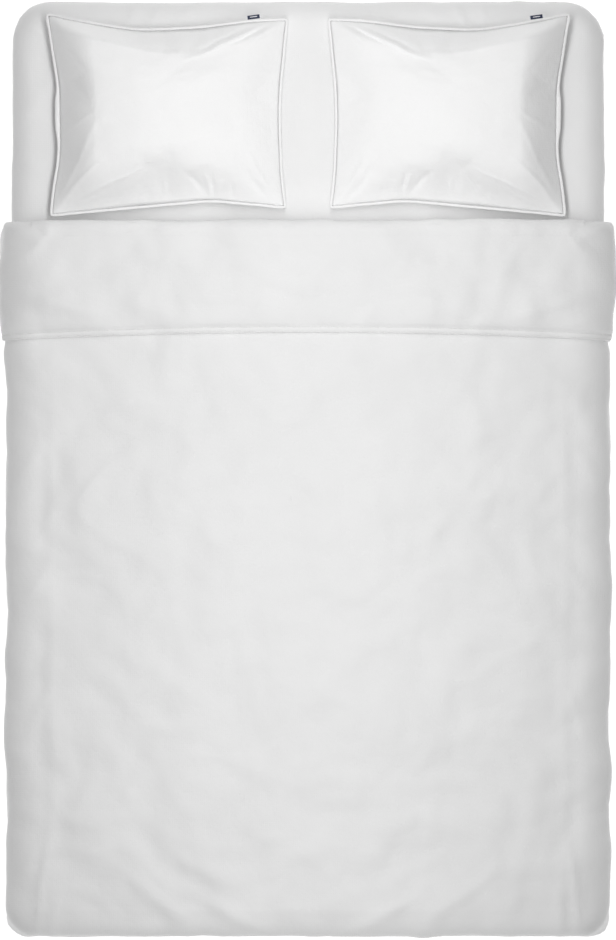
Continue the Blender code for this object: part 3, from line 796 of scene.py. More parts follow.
class DRESSED_BED_OT_fitted_sheet(BedOperator, bpy.types.Operator):
    """Lays the fitted sheet: stretched on top, drawn in over the corners, gathered at its hem"""

    bl_idname = "dressed_bed.fitted_sheet"
    bl_label = "Fitted sheet"

    # Start, end, width and height of the small creases that run in from the head edge
    HEAD_CREASES = (
        ((0.150, 1.12), (0.190, 1.00), 0.009, 0.0030),
        ((0.255, 1.11), (0.335, 1.03), 0.008, 0.0028),
        ((0.335, 1.13), (0.400, 0.97), 0.008, 0.0036),
        ((0.365, 1.12), (0.402, 1.01), 0.008, -0.0030),
        ((0.405, 1.12), (0.425, 1.03), 0.007, 0.0028),
    )

    def execute(self, context):
        half_x = SHEET_HIGH.x - EDGE_RADIUS - SHEET_MARGIN
        half_y = SHEET_HIGH.y - EDGE_RADIUS - SHEET_MARGIN
        total = SHEET_MARGIN + QUARTER * EDGE_RADIUS + BED_TOP - EDGE_RADIUS - SHEET_LOW.z
        rows = np.array([0, 1.5, 3, 5, 8, 12, 18, 26]) / 1000
        xs, ys = steps(-half_x, half_x, 0.0085), steps(-half_y, half_y, 0.0085)
        spot, faces = laid_out(xs, ys, total, total, True, 26, rows)
        u, v = spot.u, spot.v
        corner_u, corner_v = np.abs(u) - half_x, np.abs(v) - half_y
        near = np.exp(-((np.minimum(corner_u, 0) ** 2 + np.minimum(corner_v, 0) ** 2) / 0.10**2))
        bearing = np.arctan2(half_y + 0.09 - np.abs(v), half_x + 0.09 - np.abs(u))
        pull = near * noise(bearing * 7, u * 2, 71) * 0.0025
        top = noise(u * 5, v * 5, 72) * 0.0030 + noise(u * 13, v * 13, 75) * 0.0020
        top = top + creases(u, v, 73, 7, 0.08, 0.0022) + 0.0012
        top = folded(top, np.abs(u), v, self.HEAD_CREASES)
        hem = smooth(1 - spot.edge / 0.12)
        along = u * np.abs(spot.way_y) + v * np.abs(spot.way_x)
        gathers = noise(along * 26, spot.edge * 6, 74) * 0.0035 * hem
        roll = 0.0012 * bump(spot.edge - 0.006, 0.004)
        out = np.maximum(top * (1 - hem) + pull + gathers + roll, -0.0004)
        points = lay(spot, out, SHEET_MARGIN, 0.0)
        mesh = mesh_from("fitted_sheet_cotton", points, faces)
        cotton = looks()("stretched_percale_cotton_sheet")
        made = scene_object("fitted_sheet_cotton", mesh, cotton, "bed")
        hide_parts("fitted_sheet")
        return {"FINISHED"}


class DRESSED_BED_OT_duvet(BedOperator, bpy.types.Operator):
    """Makes the duvet below its fold: the filled cover with its foot hem and the insert inside"""

    bl_idname = "dressed_bed.duvet"
    bl_label = "Duvet"

    def execute(self, context):
        cell = self.cloth.cell
        xs = steps(-FLAT_X, FLAT_X, cell)
        ys = np.concatenate([steps(FLAT_FOOT, FOLD_Y, cell)[:-1], nose_rows()])
        spot, faces = laid_out(xs, ys, SIDE_RUN, FOOT_RUN)
        over, under = duvet_plies(spot, self.cloth)
        mesh = closed_skin("duvet_cover", lay(spot, over), lay(spot, under), faces)
        look = looks()
        made = scene_object("duvet_cover", mesh, look("washed_percale_cotton_cover"), "duvet")
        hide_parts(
            "duvet_cover_top",
            "duvet_cover_underside",
            "duvet_cover_foot_hem_upper",
            "duvet_cover_foot_hem_under",
            "duvet_cover_side_seam_left",
            "duvet_cover_side_seam_right",
        )
        self.insert(look)
        return {"FINISHED"}

    def insert(self, look):
        """The filled insert inside the cover."""
        head = FOLD_Y - INSERT_END
        xs, ys = steps(-FLAT_X, FLAT_X, INSERT_CELL), steps(FLAT_FOOT, head, INSERT_CELL)
        side_run, foot_run = SIDE_RUN - INSERT_EDGE, FOOT_RUN - INSERT_EDGE
        spot, faces = laid_out(xs, ys, side_run, foot_run, rows=10, near_edge=INSERT_EDGE_ROWS)
        over = duvet_raised(spot, self.cloth)
        middle = (over + UNDER) / 2
        full = over - middle - DUVET_INSERT_SKIN
        half = full * rounded(spot.edge / INSERT_ROLL) * rounded((head - spot.v) / INSERT_END)
        mesh = closed_skin("duvet_filling", lay(spot, middle + half), lay(spot, middle - half), faces)
        made = scene_object("duvet_filling", mesh, look("downproof_cotton_insert"), "duvet")
        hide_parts("duvet_insert")


class DRESSED_BED_OT_turned_end(BedOperator, bpy.types.Operator):
    """Makes the end that is folded back below the pillows, with its stitched hem"""

    bl_idname = "dressed_bed.turned_end"
    bl_label = "Turned-down end"

    def execute(self, context):
        cell = self.cloth.cell
        xs = steps(-FLAT_X, FLAT_X, cell)
        first = FREE_EDGE + EDGE_ROWS
        ys = np.concatenate([first, steps(first[-1], FOLD_Y, cell)[1:-1], nose_rows()])
        spot, faces = laid_out(xs, ys, BAND_RUN)
        over, under = band_plies(spot, self.cloth)
        place = bowed(spot)
        mesh = closed_skin("turned_end_cover", lay(place, over), lay(place, under), faces)
        look = looks()
        cotton = look("washed_percale_cotton_cover")
        made = scene_object("turned_end_cover", mesh, cotton, "turn_down")
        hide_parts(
            "turn_down_lower",
            "turn_down_upper",
            "turn_down_head_hem",
            "turn_down_side_seam_left",
            "turn_down_side_seam_right",
        )
        self.insert(look)
        return {"FINISHED"}

    def insert(self, look):
        """The filled insert inside the turned-down end. Its thickness is taken clear of the hems."""
        low, high = FREE_EDGE + 0.035, FOLD_Y - INSERT_END
        xs, ys = steps(-FLAT_X, FLAT_X, INSERT_CELL), steps(low, high, 0.012)
        spot, faces = laid_out(xs, ys, BAND_RUN - INSERT_EDGE, rows=10, near_edge=INSERT_EDGE_ROWS)
        clear = spots(*(getattr(spot, part) for part in SPOT_PARTS[:-1]))
        over, under = band_plies(clear, self.cloth)
        middle = (over + under) / 2
        ends = rounded((spot.v - low) / INSERT_END) * rounded((high - spot.v) / INSERT_END)
        half = ((over - under) / 2 - BAND_INSERT_SKIN) * rounded(spot.edge / INSERT_ROLL) * ends
        place = bowed(spot)
        mesh = closed_skin("turned_end_filling", lay(place, middle + half), lay(place, middle - half), faces)
        cotton = look("downproof_cotton_insert")
        made = scene_object("turned_end_filling", mesh, cotton, "turn_down")
        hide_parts("turn_down_insert")


class DRESSED_BED_OT_fold(BedOperator, bpy.types.Operator):
    """Makes the rounded fold that joins the duvet to its turned-down end"""

    bl_idname = "dressed_bed.fold"
    bl_label = "Fold"

    def execute(self, context):
        half = FLAT_X + 0.012
        xs = steps(-half, half, self.cloth.cell * 0.8)
        past = np.maximum(np.abs(xs) - FLAT_X, 0)
        flat = spots(np.clip(xs, -FLAT_X, FLAT_X), FOLD_Y, np.sign(xs), 0.0, 0.0, past)
        top = lay(flat, band_plies(flat, self.cloth)[0])[:, 2]
        low = BED_TOP + UNDER
        rows = []
        tuck = 0.006
        dip = smooth((np.abs(xs) - (FLAT_X - 0.018)) / 0.03)
        for back in (tuck, tuck / 2):
            z = low - 0.0002 + dip * 0.003
            rows.append(np.stack([xs, np.full_like(xs, FOLD_Y - back), z], axis=-1))
        for turn in np.linspace(-QUARTER, QUARTER, 25):
            share = (math.sin(turn) + 1) / 2
            reach_z = np.where(turn > 0, top - FOLD_Z, FOLD_Z - low)
            along = BAND_DEPTH + NOSE * (QUARTER - turn)
            swell = band_raised(flat, self.cloth, along) - BAND_TOP_LOFT
            reach_y = NOSE + FOLD_STANDS_OUT + swell * 0.6 * math.cos(turn) * smooth(share * 2)
            shrink = 1 - 0.10 * dip
            y = FOLD_Y + reach_y * math.cos(turn) * shrink
            z = FOLD_Z + reach_z * math.sin(turn) * shrink
            rows.append(np.stack([xs, y, z], axis=-1))
        for back in (tuck / 2, tuck):
            behind = spots(flat.x, FOLD_Y - back, flat.way_x, 0.0, 0.0, flat.run)
            z = lay(behind, band_plies(behind, self.cloth)[0])[:, 2] + 0.00025 - dip * 0.003
            rows.append(np.stack([xs, np.full_like(xs, FOLD_Y - back), z], axis=-1))
        points = np.concatenate(rows)
        mesh = mesh_from("fold_cover", points, grid_faces(len(rows), len(xs)))
        made = scene_object("fold_cover", mesh, looks()("washed_percale_cotton_cover"), None)
        start, end = (0, FOLD_Y, BED_TOP), (0, FOLD_Y, BED_TOP + 0.044)
        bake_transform(made)
        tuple(start)
        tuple(end)
        return {"FINISHED"}


class DRESSED_BED_OT_stitching(BedOperator, bpy.types.Operator):
    """Sews the two rows of stitches along the foot hem and along the turned-down hem"""

    bl_idname = "dressed_bed.stitching"
    bl_label = "Stitching"

    pitch: FloatProperty(
        name="Pitch", description="From one stitch to the next", default=0.0065, unit="LENGTH"
    )

    def execute(self, context):
        half = BAND_RUN - 0.006 + FLAT_X
        across = np.linspace(-half, half, 4001)
        run = np.maximum(np.abs(across) - FLAT_X, 0)
        total = half + 0.006 - FLAT_X
        lines = []
        for row in STITCH_ROWS:
            base = np.clip(across, -FLAT_X, FLAT_X)
            spot = spots(base, FREE_EDGE + row, np.sign(across), 0.0, 0.0, run, total)
            lines.append(lay(bowed(spot), band_plies(spot, self.cloth)[0] + 0.0004))
        self.sew("turned_hem_stitches", lines, "turn_down", "turned_cotton")
        lines = []
        xs = np.linspace(-FLAT_X, FLAT_X, 2601)
        for row in STITCH_ROWS:
            spot = spots(xs, FLAT_FOOT, 0.0, -1.0, QUARTER, FOOT_RUN - row, FOOT_RUN)
            lines.append(lay(spot, duvet_plies(spot, self.cloth)[0] + 0.0004))
        self.sew("foot_hem_stitches", lines, "duvet", "cover_cotton")
        return {"FINISHED"}

    def sew(self, name, lines, body, slot):
        """Each stitch is a slim spindle that lies along its line. Real ones are 0.4 mm thick and
        3 mm long, too fine to show, so these are drawn about twice that size."""
        points, faces = [], []
        thick, share = 0.00075, 0.66
        for line in lines:
            gone = np.concatenate([[0], np.cumsum(np.linalg.norm(np.diff(line, axis=0), axis=1))])
            starts = np.arange(0, gone[-1] - self.pitch, self.pitch)
            first, last = (
                np.stack([np.interp(starts + more, gone, line[:, k]) for k in range(3)], axis=-1)
                for more in (0, self.pitch * share)
            )
            for one, two in zip(first, last):
                way = (two - one) / np.linalg.norm(two - one)
                side = np.cross(way, (0.0, 0.3, 1.0))
                side /= np.linalg.norm(side)
                up = np.cross(side, way)
                middle, at = (one + two) / 2, len(points)
                points += [one, two]
                points += [middle + thick * way_out for way_out in (side, up, -side, -up)]
                for k in range(4):
                    here, after = at + 2 + k, at + 2 + (k + 1) % 4
                    faces += [(at, here, after), (at + 1, after, here)]
        mesh = mesh_from(name, points, faces, weld=1e-7, sharp=None)
        scene_object(name, mesh, looks()("mercerised_cotton_thread"), body)


class DRESSED_BED_OT_buttons(BedOperator, bpy.types.Operator):
    """Sews the seven buttons to the inner side of the foot hem"""

    bl_idname = "dressed_bed.buttons"
    bl_label = "Buttons"

    # The button's outline in mm, as radius and height, from its face's middle to its back's
    OUTLINE = ((0.0, 1.3), (1.9, 1.3), (2.6, 1.5), (3.3, 2.2), (4.4, 2.4), (5.2, 2.0), (5.5, 1.3))
    OUTLINE += ((5.2, 0.6), (4.0, 0.0), (0.0, 0.0))
    THREAD_REACH, THREAD_HALF = 1.1, 0.32
    FROM_EDGE = 0.0095
    SEGMENTS = 28

    def turned(self):
        """The button's points and faces, its back on its own origin."""
        turns = np.linspace(0, 2 * math.pi, self.SEGMENTS + 1)
        rings = [
            np.stack([r * np.cos(turns), r * np.sin(turns), np.full_like(turns, h)], axis=-1)
            for r, h in self.OUTLINE
        ]
        points = np.stack(rings, axis=1).reshape(-1, 3) / 1000
        return points, grid_faces(len(turns), len(rings))

    def execute(self, context):
        look = looks()
        inwards = Vector((0.0, math.sin(FOOT_LEAN), -math.cos(FOOT_LEAN)))
        turn = Vector((0, 0, 1)).rotation_difference(inwards).to_matrix().to_4x4()
        for number in range(1, 8):
            node = f"duvet_cover_button_{number}"
            low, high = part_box(node)
            middle = (low.x + high.x) / 2
            spot = spots(middle, FLAT_FOOT, 0.0, -1.0, QUARTER, FOOT_RUN - self.FROM_EDGE, FOOT_RUN)
            under = duvet_plies(spot, self.cloth)[1]
            place = Matrix.Translation(lay(spot, under - 0.0002)) @ turn
            name = f"duvet_button_{number}"
            mesh = mesh_from(name, *self.turned(), weld=1e-6, sharp=50.0)
            pearl_look = look("moulded_pearl_polyester_button")
            made = scene_object(name, mesh, pearl_look, "duvet", place)
            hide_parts(node)
            self.thread(number, place, look)
        return {"FINISHED"}

    def thread(self, number, place, look):
        """Two crossed strands of sewing thread over the button's face."""
        reach, half = self.THREAD_REACH, self.THREAD_HALF
        points, faces = [], []
        for angle in (math.pi / 4, -math.pi / 4):
            way = np.array((math.cos(angle), math.sin(angle), 0.0))
            side = np.array((-way[1], way[0], 0.0))
            at = len(points)
            for share in (-1.0, -0.6, 0.0, 0.6, 1.0):
                lift = 1.75 - 0.55 * abs(share) ** 3
                middle = way * reach * 1.35 * share + (0, 0, lift)
                points += [middle + side * half, middle + (0, 0, half)]
                points += [middle - side * half, middle - (0, 0, half)]
            for ring in range(4):
                for k in range(4):
                    here, after = at + ring * 4 + k, at + ring * 4 + (k + 1) % 4
                    faces.append((here, after, after + 4, here + 4))
            faces += [(at, at + 1, at + 2, at + 3), (at + 16, at + 17, at + 18, at + 19)]
        name = f"duvet_button_thread_{number}"
        mesh = mesh_from(name, np.array(points) / 1000, faces, weld=1e-7)
        cotton = look("mercerised_cotton_thread")
        scene_object(name, mesh, cotton, "duvet", place)


class DRESSED_BED_OT_pillows(BedOperator, bpy.types.Operator):
    """Blows up one flat pillowcase as cloth, fits it to its place, and mirrors it for the other"""

    bl_idname = "dressed_bed.pillows"
    bl_label = "Pillows"

    # The left case's seam, from its middle: its corners at the foot and at the head, outer one
    # first, and how far each side bows in at shares of its length.
    CORNERS = ((-0.2705, -0.2327), (0.2775, -0.2138), (-0.2800, 0.2370), (0.2821, 0.2251))
    FOOT_BOW = ((0, 0), (0.19, 0.006), (0.34, 0.011), (0.69, 0.0215), (0.85, 0.010), (1, 0))
    HEAD_BOW = ((0, 0), (0.12, 0.012), (0.22, 0.021), (0.38, 0.032), (0.64, 0.0225), (0.87, 0.0037), (1, 0))
    OUTER_BOW = ((0, 0), (0.11, 0.0045), (0.21, 0.014), (0.30, 0.021), (0.65, 0.022), (0.77, 0.014), (1, 0))
    INNER_BOW = ((0, 0), (0.17, 0.009), (0.46, 0.015), (0.64, 0.0135), (0.87, 0.0047), (1, 0))

    # Each fold's start, end, width, height and bow, in shares of the case's half length and half
    # width: 1, 1 is the corner by the bed's middle at the head.
    FOLDS = (
        ((0.84, 1.00), (0.16, 0.83), 0.034, -0.0120, 0.02),
        ((0.84, 0.94), (0.06, 0.75), 0.034, 0.0060, 0.02),
        ((0.28, 0.87), (-0.36, 0.85), 0.026, -0.0070, -0.01),
        ((0.88, 0.97), (0.54, 0.78), 0.028, -0.0090, 0.01),
        ((0.94, 0.97), (0.70, 0.72), 0.026, 0.0050, 0.0),
        ((-0.97, -0.97), (-0.54, -0.42), 0.026, 0.0050, 0.03),
        ((-0.96, -0.98), (-0.20, -0.62), 0.026, 0.0052, 0.02),
        ((-0.97, -0.92), (-0.64, -0.06), 0.030, 0.0044, 0.02),
        ((-0.90, -0.98), (-0.50, -0.86), 0.020, 0.0034, 0.0),
        ((0.37, -1.02), (0.15, -0.68), 0.026, -0.0066, 0.01),
        ((0.38, -1.02), (0.33, -0.74), 0.020, 0.0050, 0.0),
        ((0.39, -1.02), (0.385, -0.70), 0.016, -0.0056, 0.0),
        ((0.40, -1.02), (0.50, -0.78), 0.018, 0.0040, 0.0),
        ((0.55, -1.02), (0.57, -0.80), 0.018, -0.0034, 0.0),
        ((0.90, -1.00), (0.58, -0.46), 0.034, -0.0052, 0.02),
        ((0.93, -0.96), (0.68, -0.40), 0.028, 0.0036, 0.0),
        ((-0.02, -1.00), (-0.03, -0.80), 0.014, 0.0030, 0.0),
        ((-0.40, -1.00), (-0.36, -0.88), 0.014, 0.0028, 0.0),
        ((-0.68, -1.00), (-0.66, -0.86), 0.014, 0.0024, 0.0),
        ((-0.98, -0.18), (-0.62, 0.06), 0.026, 0.0036, 0.0),
        ((-0.98, 0.86), (-0.70, 0.40), 0.030, -0.0034, 0.0),
    )

    def bag(self, size):
        """A flat closed bag, its two sides sharing their edge."""
        columns, rows = (int(round(length / size.cell)) + 1 for length in (size.length, size.width))
        x, y = np.meshgrid(
            np.linspace(-size.length / 2, size.length / 2, columns),
            np.linspace(-size.width / 2, size.width / 2, rows),
        )
        edge = (np.abs(x) > size.length / 2 - 1e-6) | (np.abs(y) > size.width / 2 - 1e-6)
        lift = np.where(edge, 0.0, 0.003)
        top = np.stack([x, y, lift], axis=-1).reshape(-1, 3)
        bottom = np.stack([x, y, -lift], axis=-1).reshape(-1, 3)
        faces = grid_faces(rows, columns)
        both = np.concatenate([faces, faces[:, ::-1] + len(top)])
        return mesh_from("pillow_bag", np.concatenate([top, bottom]), both, sharp=None)

    def halved(self, name, mesh, points, kind):
        """The mesh with its points moved and each cell cut in four: its points and faces."""
        copy = mesh.copy()
        copy.vertices.foreach_set("co", np.asarray(points, np.float32).ravel())
        made = bpy.data.objects.new(name, copy)
        bpy.context.scene.collection.objects.link(made)
        fine = made.modifiers.new("fine", "SUBSURF")
        fine.subdivision_type = kind
        fine.levels = 1
        done = made.evaluated_get(bpy.context.evaluated_depsgraph_get()).to_mesh()
        finer = np.array([corner.co for corner in done.vertices])
        faces = [list(face.vertices) for face in done.polygons]
        bpy.data.objects.remove(made, do_unlink=True)
        return finer, faces

    def blown_up(self, mesh, size):
        """The bag's points after it is blown up, in the bag's own frame."""
        made = bpy.data.objects.new("pillow_bag", mesh)
        bpy.context.scene.collection.objects.link(made)
        cloth = made.modifiers.new("cloth", "CLOTH").settings
        cloth.quality = 6
        cloth.mass = 0.25
        cloth.use_pressure = True
        cloth.uniform_pressure_force = size.pressure
        cloth.tension_stiffness = cloth.compression_stiffness = 40.0
        cloth.shear_stiffness = 8.0
        cloth.bending_stiffness = 0.03
        cloth.effector_weights.gravity = 0.0
        scene = bpy.context.scene
        made.modifiers["cloth"].point_cache.frame_end = size.frames
        for number in range(1, size.frames + 1):
            scene.frame_set(number)
        done = made.evaluated_get(bpy.context.evaluated_depsgraph_get()).to_mesh()
        blown = np.array([corner.co for corner in done.vertices])
        scene.frame_set(1)
        bpy.data.objects.remove(made, do_unlink=True)
        return blown

    def bow(self, share, side):
        """How far a side of the seam is drawn in at a share of its length."""
        at, by = zip(*side)
        bend = sum(np.interp(share + shift, at, by) for shift in np.linspace(-0.06, 0.06, 9)) / 9
        return bend * np.clip(np.minimum(share, 1 - share) / 0.06, 0, 1)

    def fitted(self, blown, flat, size, crown, sink):
        """Settles the blown-up bag: its seam to its outline, its underside flat, its top crowned.
        x and y run from -1 to 1 over the bag, and y is 1 at the head."""
        x, y = flat[:, 0] / size.length * 2, flat[:, 1] / size.width * 2
        along, across = (x + 1) / 2, (y + 1) / 2
        foot_out, foot_in, head_out, head_in = (np.array(corner) for corner in self.CORNERS)
        foot = foot_out + along[:, None] * (foot_in - foot_out)
        head = head_out + along[:, None] * (head_in - head_out)
        points = np.zeros_like(blown)
        points[:, :2] = foot + across[:, None] * (head - foot)
        outer, inner = self.bow(across, self.OUTER_BOW), self.bow(across, self.INNER_BOW)
        points[:, 0] += (1 - along) * outer - along * inner
        near, far = self.bow(along, self.FOOT_BOW), self.bow(along, self.HEAD_BOW)
        points[:, 1] += (1 - across) * near - across * far
        inside = np.clip(1 - np.maximum(np.abs(x), np.abs(y)) ** 12, 0, 1)
        scale = np.ptp(blown[:, :2], axis=0) / np.ptp(flat[:, :2], axis=0)
        points[:, :2] += (blown[:, :2] - flat[:, :2] * scale) * (size.draw_in * inside)[:, None]
        up, down = blown[:, 2].max(), -blown[:, 2].min()
        # How the top rises from each side: the way in, how far it rises over, and how steeply
        sides = ((1 + x, 0.36, 1.7), (1 - x, 1.60, 1.5), (1 - y, 0.18, 1.7), (1 + y, 0.80, 2.0))
        boxed = np.ones(len(x))
        for reach, width, power in sides:
            boxed = boxed * (1 - (1 - np.clip(reach / width, 0, 1)) ** power)
        rise = size.squareness * boxed + (1 - size.squareness) * np.clip(blown[:, 2] / up, 0, 1) ** 0.7
        label = np.exp(-((np.abs(x) - 0.735) ** 2 + (y - 1) ** 2) / 0.10)
        droop = size.droop * (1 - label)
        above = rise / rise.max() * (crown + droop)
        below = (droop - sink) * np.tanh(np.clip(-blown[:, 2] / down, 0.02, 1) * 2.6) / math.tanh(2.6)
        top = flat[:, 2] > 0
        points[:, 2] = np.where(top, above, np.where(flat[:, 2] < 0, below, 0)) - droop
        lumps = noise(x * 2.6, y * 2.6, 81) * 0.0030 + noise(x * 6, y * 6, 82) * 0.0020
        lumps = folded(lumps, x, y, self.FOLDS)
        points[:, 2] += np.where(top, np.maximum(lumps * inside, -0.6 * above), 0)
        return points

    def execute(self, context):
        size = context.scene.bed_pillow
        mesh = self.bag(size)
        flat = np.array([corner.co for corner in mesh.vertices])
        blown = self.blown_up(mesh, size)
        fine_flat, fine_faces = self.halved("flat_bag", mesh, flat, "SIMPLE")
        fine, _ = self.halved("full_bag", mesh, blown, "CATMULL_CLARK")
        low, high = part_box("pillow_left_case_back")[0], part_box("pillow_left_case_front")[1]
        seam = JOINTS["label_left_flip"]["pos_m"][2]
        crown, sink = high.z - seam, seam - low.z
        fine = self.fitted(fine, fine_flat, size, crown, sink)
        coarse = self.fitted(blown, flat, size, crown, sink)
        faces = [list(face.vertices) for face in mesh.polygons]
        loop = self.seam_loop(fine_flat, size)
        middle = (low + high) / 2
        look = looks()
        for side, word in ((1, "left"), (-1, "right")):
            centre = np.array((middle.x * side, middle.y, seam))
            body = f"pillow_{word}"
            placed = fine * (side, 1, 1) + centre
            skin = mesh_from(f"{body}_case", placed, fine_faces, weld=1e-7, sharp=None)
            cotton = look("washed_percale_cotton_pillowcase")
            made = scene_object(f"{body}_case", skin, cotton, body)
            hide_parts(f"{body}_case_front", f"{body}_case_back")
            self.rim(body, placed[loop], fine_flat[loop] / (size.length / 2, size.width / 2, 1), look)
            self.inside(body, faces, coarse * (side, 1, 1) + centre, centre, side, look)
        return {"FINISHED"}

    def seam_loop(self, flat, size):
        """The points round the bag's edge, in order, from its first corner."""
        x, y = flat[:, 0] / size.length * 2, flat[:, 1] / size.width * 2
        on_edge = np.where(np.maximum(np.abs(x), np.abs(y)) > 1 - 1e-4)[0]
        return on_edge[np.argsort(np.arctan2(y[on_edge], x[on_edge]))]

    def rim(self, body, loop, flat, look):
        """The sewn edge that stands out round the case as a narrow flat border."""
        ahead, behind = np.roll(loop, -1, axis=0), np.roll(loop, 1, axis=0)
        way = ahead - behind
        out = np.stack([way[:, 1], -way[:, 0], np.zeros(len(way))], axis=-1)
        out /= np.linalg.norm(out, axis=1)[:, None]
        centre = loop.mean(axis=0)
        if ((loop - centre) * out).sum() < 0:
            out = -out
        # Halfway along the outer side the border is turned outwards, and so looks wider
        wave = 1 + 0.15 * noise(np.arange(len(loop)) * 0.15, 0.0, 83)
        wave = wave + 0.9 * (flat[:, 0] < -0.99) * np.exp(-((flat[:, 1] / 0.22) ** 4))
        section = ((-0.0012, 0.0), (0.001, 0.0010), (0.0026, 0.0007), (0.0050, 0.0011), (0.0056, 0.0))
        section += ((0.0050, -0.0011), (0.0026, -0.0008), (0.001, -0.0013))
        rings = [loop + out * (reach * wave)[:, None] + (0, 0, up) for reach, up in section]
        grid = np.stack(rings + rings[:1], axis=1)
        grid = np.concatenate([grid, grid[:1]], axis=0)
        points = grid.reshape(-1, 3)
        skin = mesh_from(f"{body}_seam_edge", points, grid_faces(grid.shape[0], grid.shape[1]), sharp=None)
        cotton = look("washed_percale_cotton_pillowcase")
        made = scene_object(f"{body}_seam_edge", skin, cotton, body)
        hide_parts(f"{body}_case_rim")

    def inside(self, body, faces, placed, centre, side, look):
        """The pillow itself, just inside its case, and the case's tucked-in flap."""
        middle = np.array(centre)
        shrunk = (placed - middle) * (0.975, 0.97, 0.94) + middle
        skin = mesh_from(f"{body}_pillow", shrunk, faces, sharp=None)
        cotton = look("downproof_cotton_insert")
        made = scene_object(f"{body}_pillow", skin, cotton, body)
        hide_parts(f"{body}_inner")
        tucked = (placed - middle) * (0.985, 0.98, 0.965) + middle
        reach = (placed[:, 0] - middle[0]) / 0.28 * -side
        kept = [
            face
            for face in faces
            if all(reach[i] > 0.45 and reach[i] < 0.93 and placed[i, 2] < middle[2] - 0.004 for i in face)
        ]
        skin = mesh_from(f"{body}_flap", tucked, kept, sharp=None)
        cotton = look("washed_percale_cotton_pillowcase")
        made = scene_object(f"{body}_flap", skin, cotton, body)
        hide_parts(f"{body}_case_flap")


class DRESSED_BED_OT_labels(BedOperator, bpy.types.Operator):
    """Makes the two folded ribbon tabs that are sewn into the pillowcases' head edges"""

    bl_idname = "dressed_bed.labels"
    bl_label = "Label tabs"

    def execute(self, context):
        look = looks()
        for word in ("left", "right"):
            joint = JOINTS[f"label_{word}_flip"]
            half_width, reach = 0.017, 0.0094
            x, s = np.meshgrid(np.linspace(-half_width, half_width, 35), np.linspace(0, 1, 25))
            # The ribbon goes out, turns back on itself in a small loop, and comes in again
            turn = s * 2 * math.pi
            y = reach / 2 * (1 - np.cos(turn)) - 0.0002
            z = 0.0009 * np.sin(turn) * (1 + 0.4 * np.cos(turn)) + 0.0004 * np.sin(x * 140) * (y / reach)
            points = np.stack([x, y, z], axis=-1).reshape(-1, 3)
            name = f"label_tab_{word}"
            mesh = mesh_from(name, points, grid_faces(*x.shape), sharp=None)
            bearing = math.atan2(joint["axis"][1], joint["axis"][0])
            place = Matrix.Translation(joint["pos_m"]) @ Matrix.Rotation(bearing, 4, "Z")
            ribbon = look("woven_navy_ribbon")
            made = scene_object(name, mesh, ribbon, f"label_{word}", place)
            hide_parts(f"pillow_{word}_label")
        return {"FINISHED"}


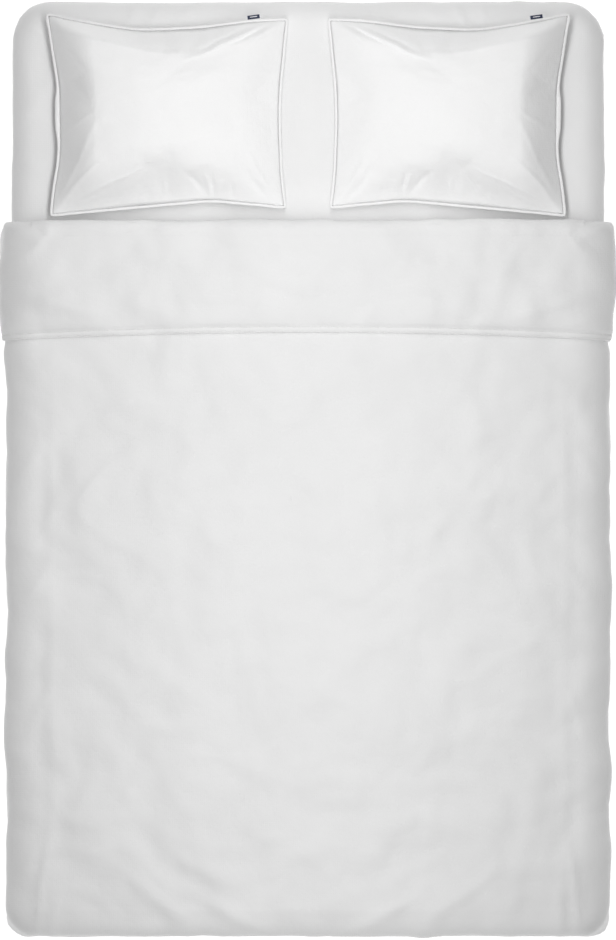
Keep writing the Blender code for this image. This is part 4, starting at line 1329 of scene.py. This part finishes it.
class DRESSED_BED_OT_stage(BedOperator, bpy.types.Operator):
    """Sets the lit floor, the soft lamp, the pale surroundings and the camera straight above"""

    bl_idname = "dressed_bed.stage"
    bl_label = "Stage"

    def execute(self, context):
        scene, stage = context.scene, context.scene.bed_stage
        half = 8
        corners = [(-half, -half, 0), (half, -half, 0), (half, half, 0), (-half, half, 0)]
        mesh = mesh_from("floor", corners, [(0, 1, 2, 3)], sharp=None)
        floor = bpy.data.objects.new("floor", mesh)
        scene.collection.objects.link(floor)
        floor.location.z = -0.001
        mesh.materials.append(self.floor_paint(stage.floor_glow))
        world = bpy.data.worlds.new("pale_room")
        world.use_nodes = True
        sky = world.node_tree.nodes["Background"]
        sky.inputs["Color"].default_value = (1.0, 1.0, 1.0, 1.0)
        sky.inputs["Strength"].default_value = stage.sky
        scene.world = world
        lamp = bpy.data.lights.new("soft_lamp", "AREA")
        lamp.shape = "RECTANGLE"
        lamp.size, lamp.size_y = 0.5, 3.9
        lamp.energy = stage.lamp
        made = bpy.data.objects.new("soft_lamp", lamp)
        made.location = (0.0, stage.lamp_y, BED_TOP + stage.lamp_height)
        made.visible_camera = False
        scene.collection.objects.link(made)
        camera = bpy.data.cameras.new("camera")
        camera.sensor_width = 36.0
        camera.lens = camera.sensor_width * stage.camera_height / stage.view_length
        camera.clip_end = 60.0
        seen = bpy.data.objects.new("camera", camera)
        seen.location = (0.0, stage.view_y, BED_TOP + stage.camera_height)
        scene.collection.objects.link(seen)
        scene.camera = seen
        scene.view_settings.view_transform = "Standard"
        return {"FINISHED"}

    def floor_paint(self, glow):
        """Matt white board, lit evenly from below as a light table is, almost without shadow."""
        made, tree, shader = new_material("lit_matt_white_board", 0.9)
        place = add_node(tree, "ShaderNodeTexCoord").outputs["Object"]
        cloud = add_node(tree, "ShaderNodeTexNoise", {"Vector": place, "Scale": 3.0, "Detail": 4.0})
        mixed = add_node(
            tree,
            "ShaderNodeMix",
            {0: cloud, 6: linear("#F6F6F6"), 7: linear("#FAFAFA")},
            data_type="RGBA",
        )
        tree.links.new(mixed.outputs[2], shader.inputs["Base Color"])
        shader.inputs["Emission Color"].default_value = (1.0, 1.0, 1.0, 1.0)
        shader.inputs["Emission Strength"].default_value = glow
        return made


class DRESSED_BED_PT_panel(bpy.types.Panel):
    """Lists the settings and the pieces in the 3D view's sidebar"""

    bl_idname = "DRESSED_BED_PT_panel"
    bl_label = "Dressed Bed"
    bl_space_type = "VIEW_3D"
    bl_region_type = "UI"
    bl_category = "Dressed Bed"

    def draw(self, context):
        for name, group in SETTINGS:
            box = self.layout.box()
            settings = getattr(context.scene, name)
            for prop in group.__annotations__:
                box.prop(settings, prop)
        for operator in OPERATORS:
            self.layout.operator(operator.bl_idname)


SETTINGS = (
    ("bed_cloth", BedCloth),
    ("bed_pillow", BedPillow),
    ("bed_finish", BedFinish),
    ("bed_stage", BedStage),
)
OPERATORS = (
    DRESSED_BED_OT_pillows,
    DRESSED_BED_OT_mattress,
    DRESSED_BED_OT_fitted_sheet,
    DRESSED_BED_OT_duvet,
    DRESSED_BED_OT_turned_end,
    DRESSED_BED_OT_fold,
    DRESSED_BED_OT_stitching,
    DRESSED_BED_OT_buttons,
    DRESSED_BED_OT_labels,
    DRESSED_BED_OT_stage,
)


def register():
    for _, group in SETTINGS:
        bpy.utils.register_class(group)
    for name, group in SETTINGS:
        setattr(bpy.types.Scene, name, PointerProperty(type=group))
    for kind in OPERATORS + (DRESSED_BED_PT_panel,):
        bpy.utils.register_class(kind)


def unregister():
    for kind in (DRESSED_BED_PT_panel,) + OPERATORS[::-1]:
        bpy.utils.unregister_class(kind)
    for name, group in SETTINGS[::-1]:
        delattr(bpy.types.Scene, name)
        bpy.utils.unregister_class(group)


def main():
    register()
    for operator in OPERATORS:
        group, call = operator.bl_idname.split(".")
        getattr(getattr(bpy.ops, group), call)()


if __name__ == "__main__":
    main()
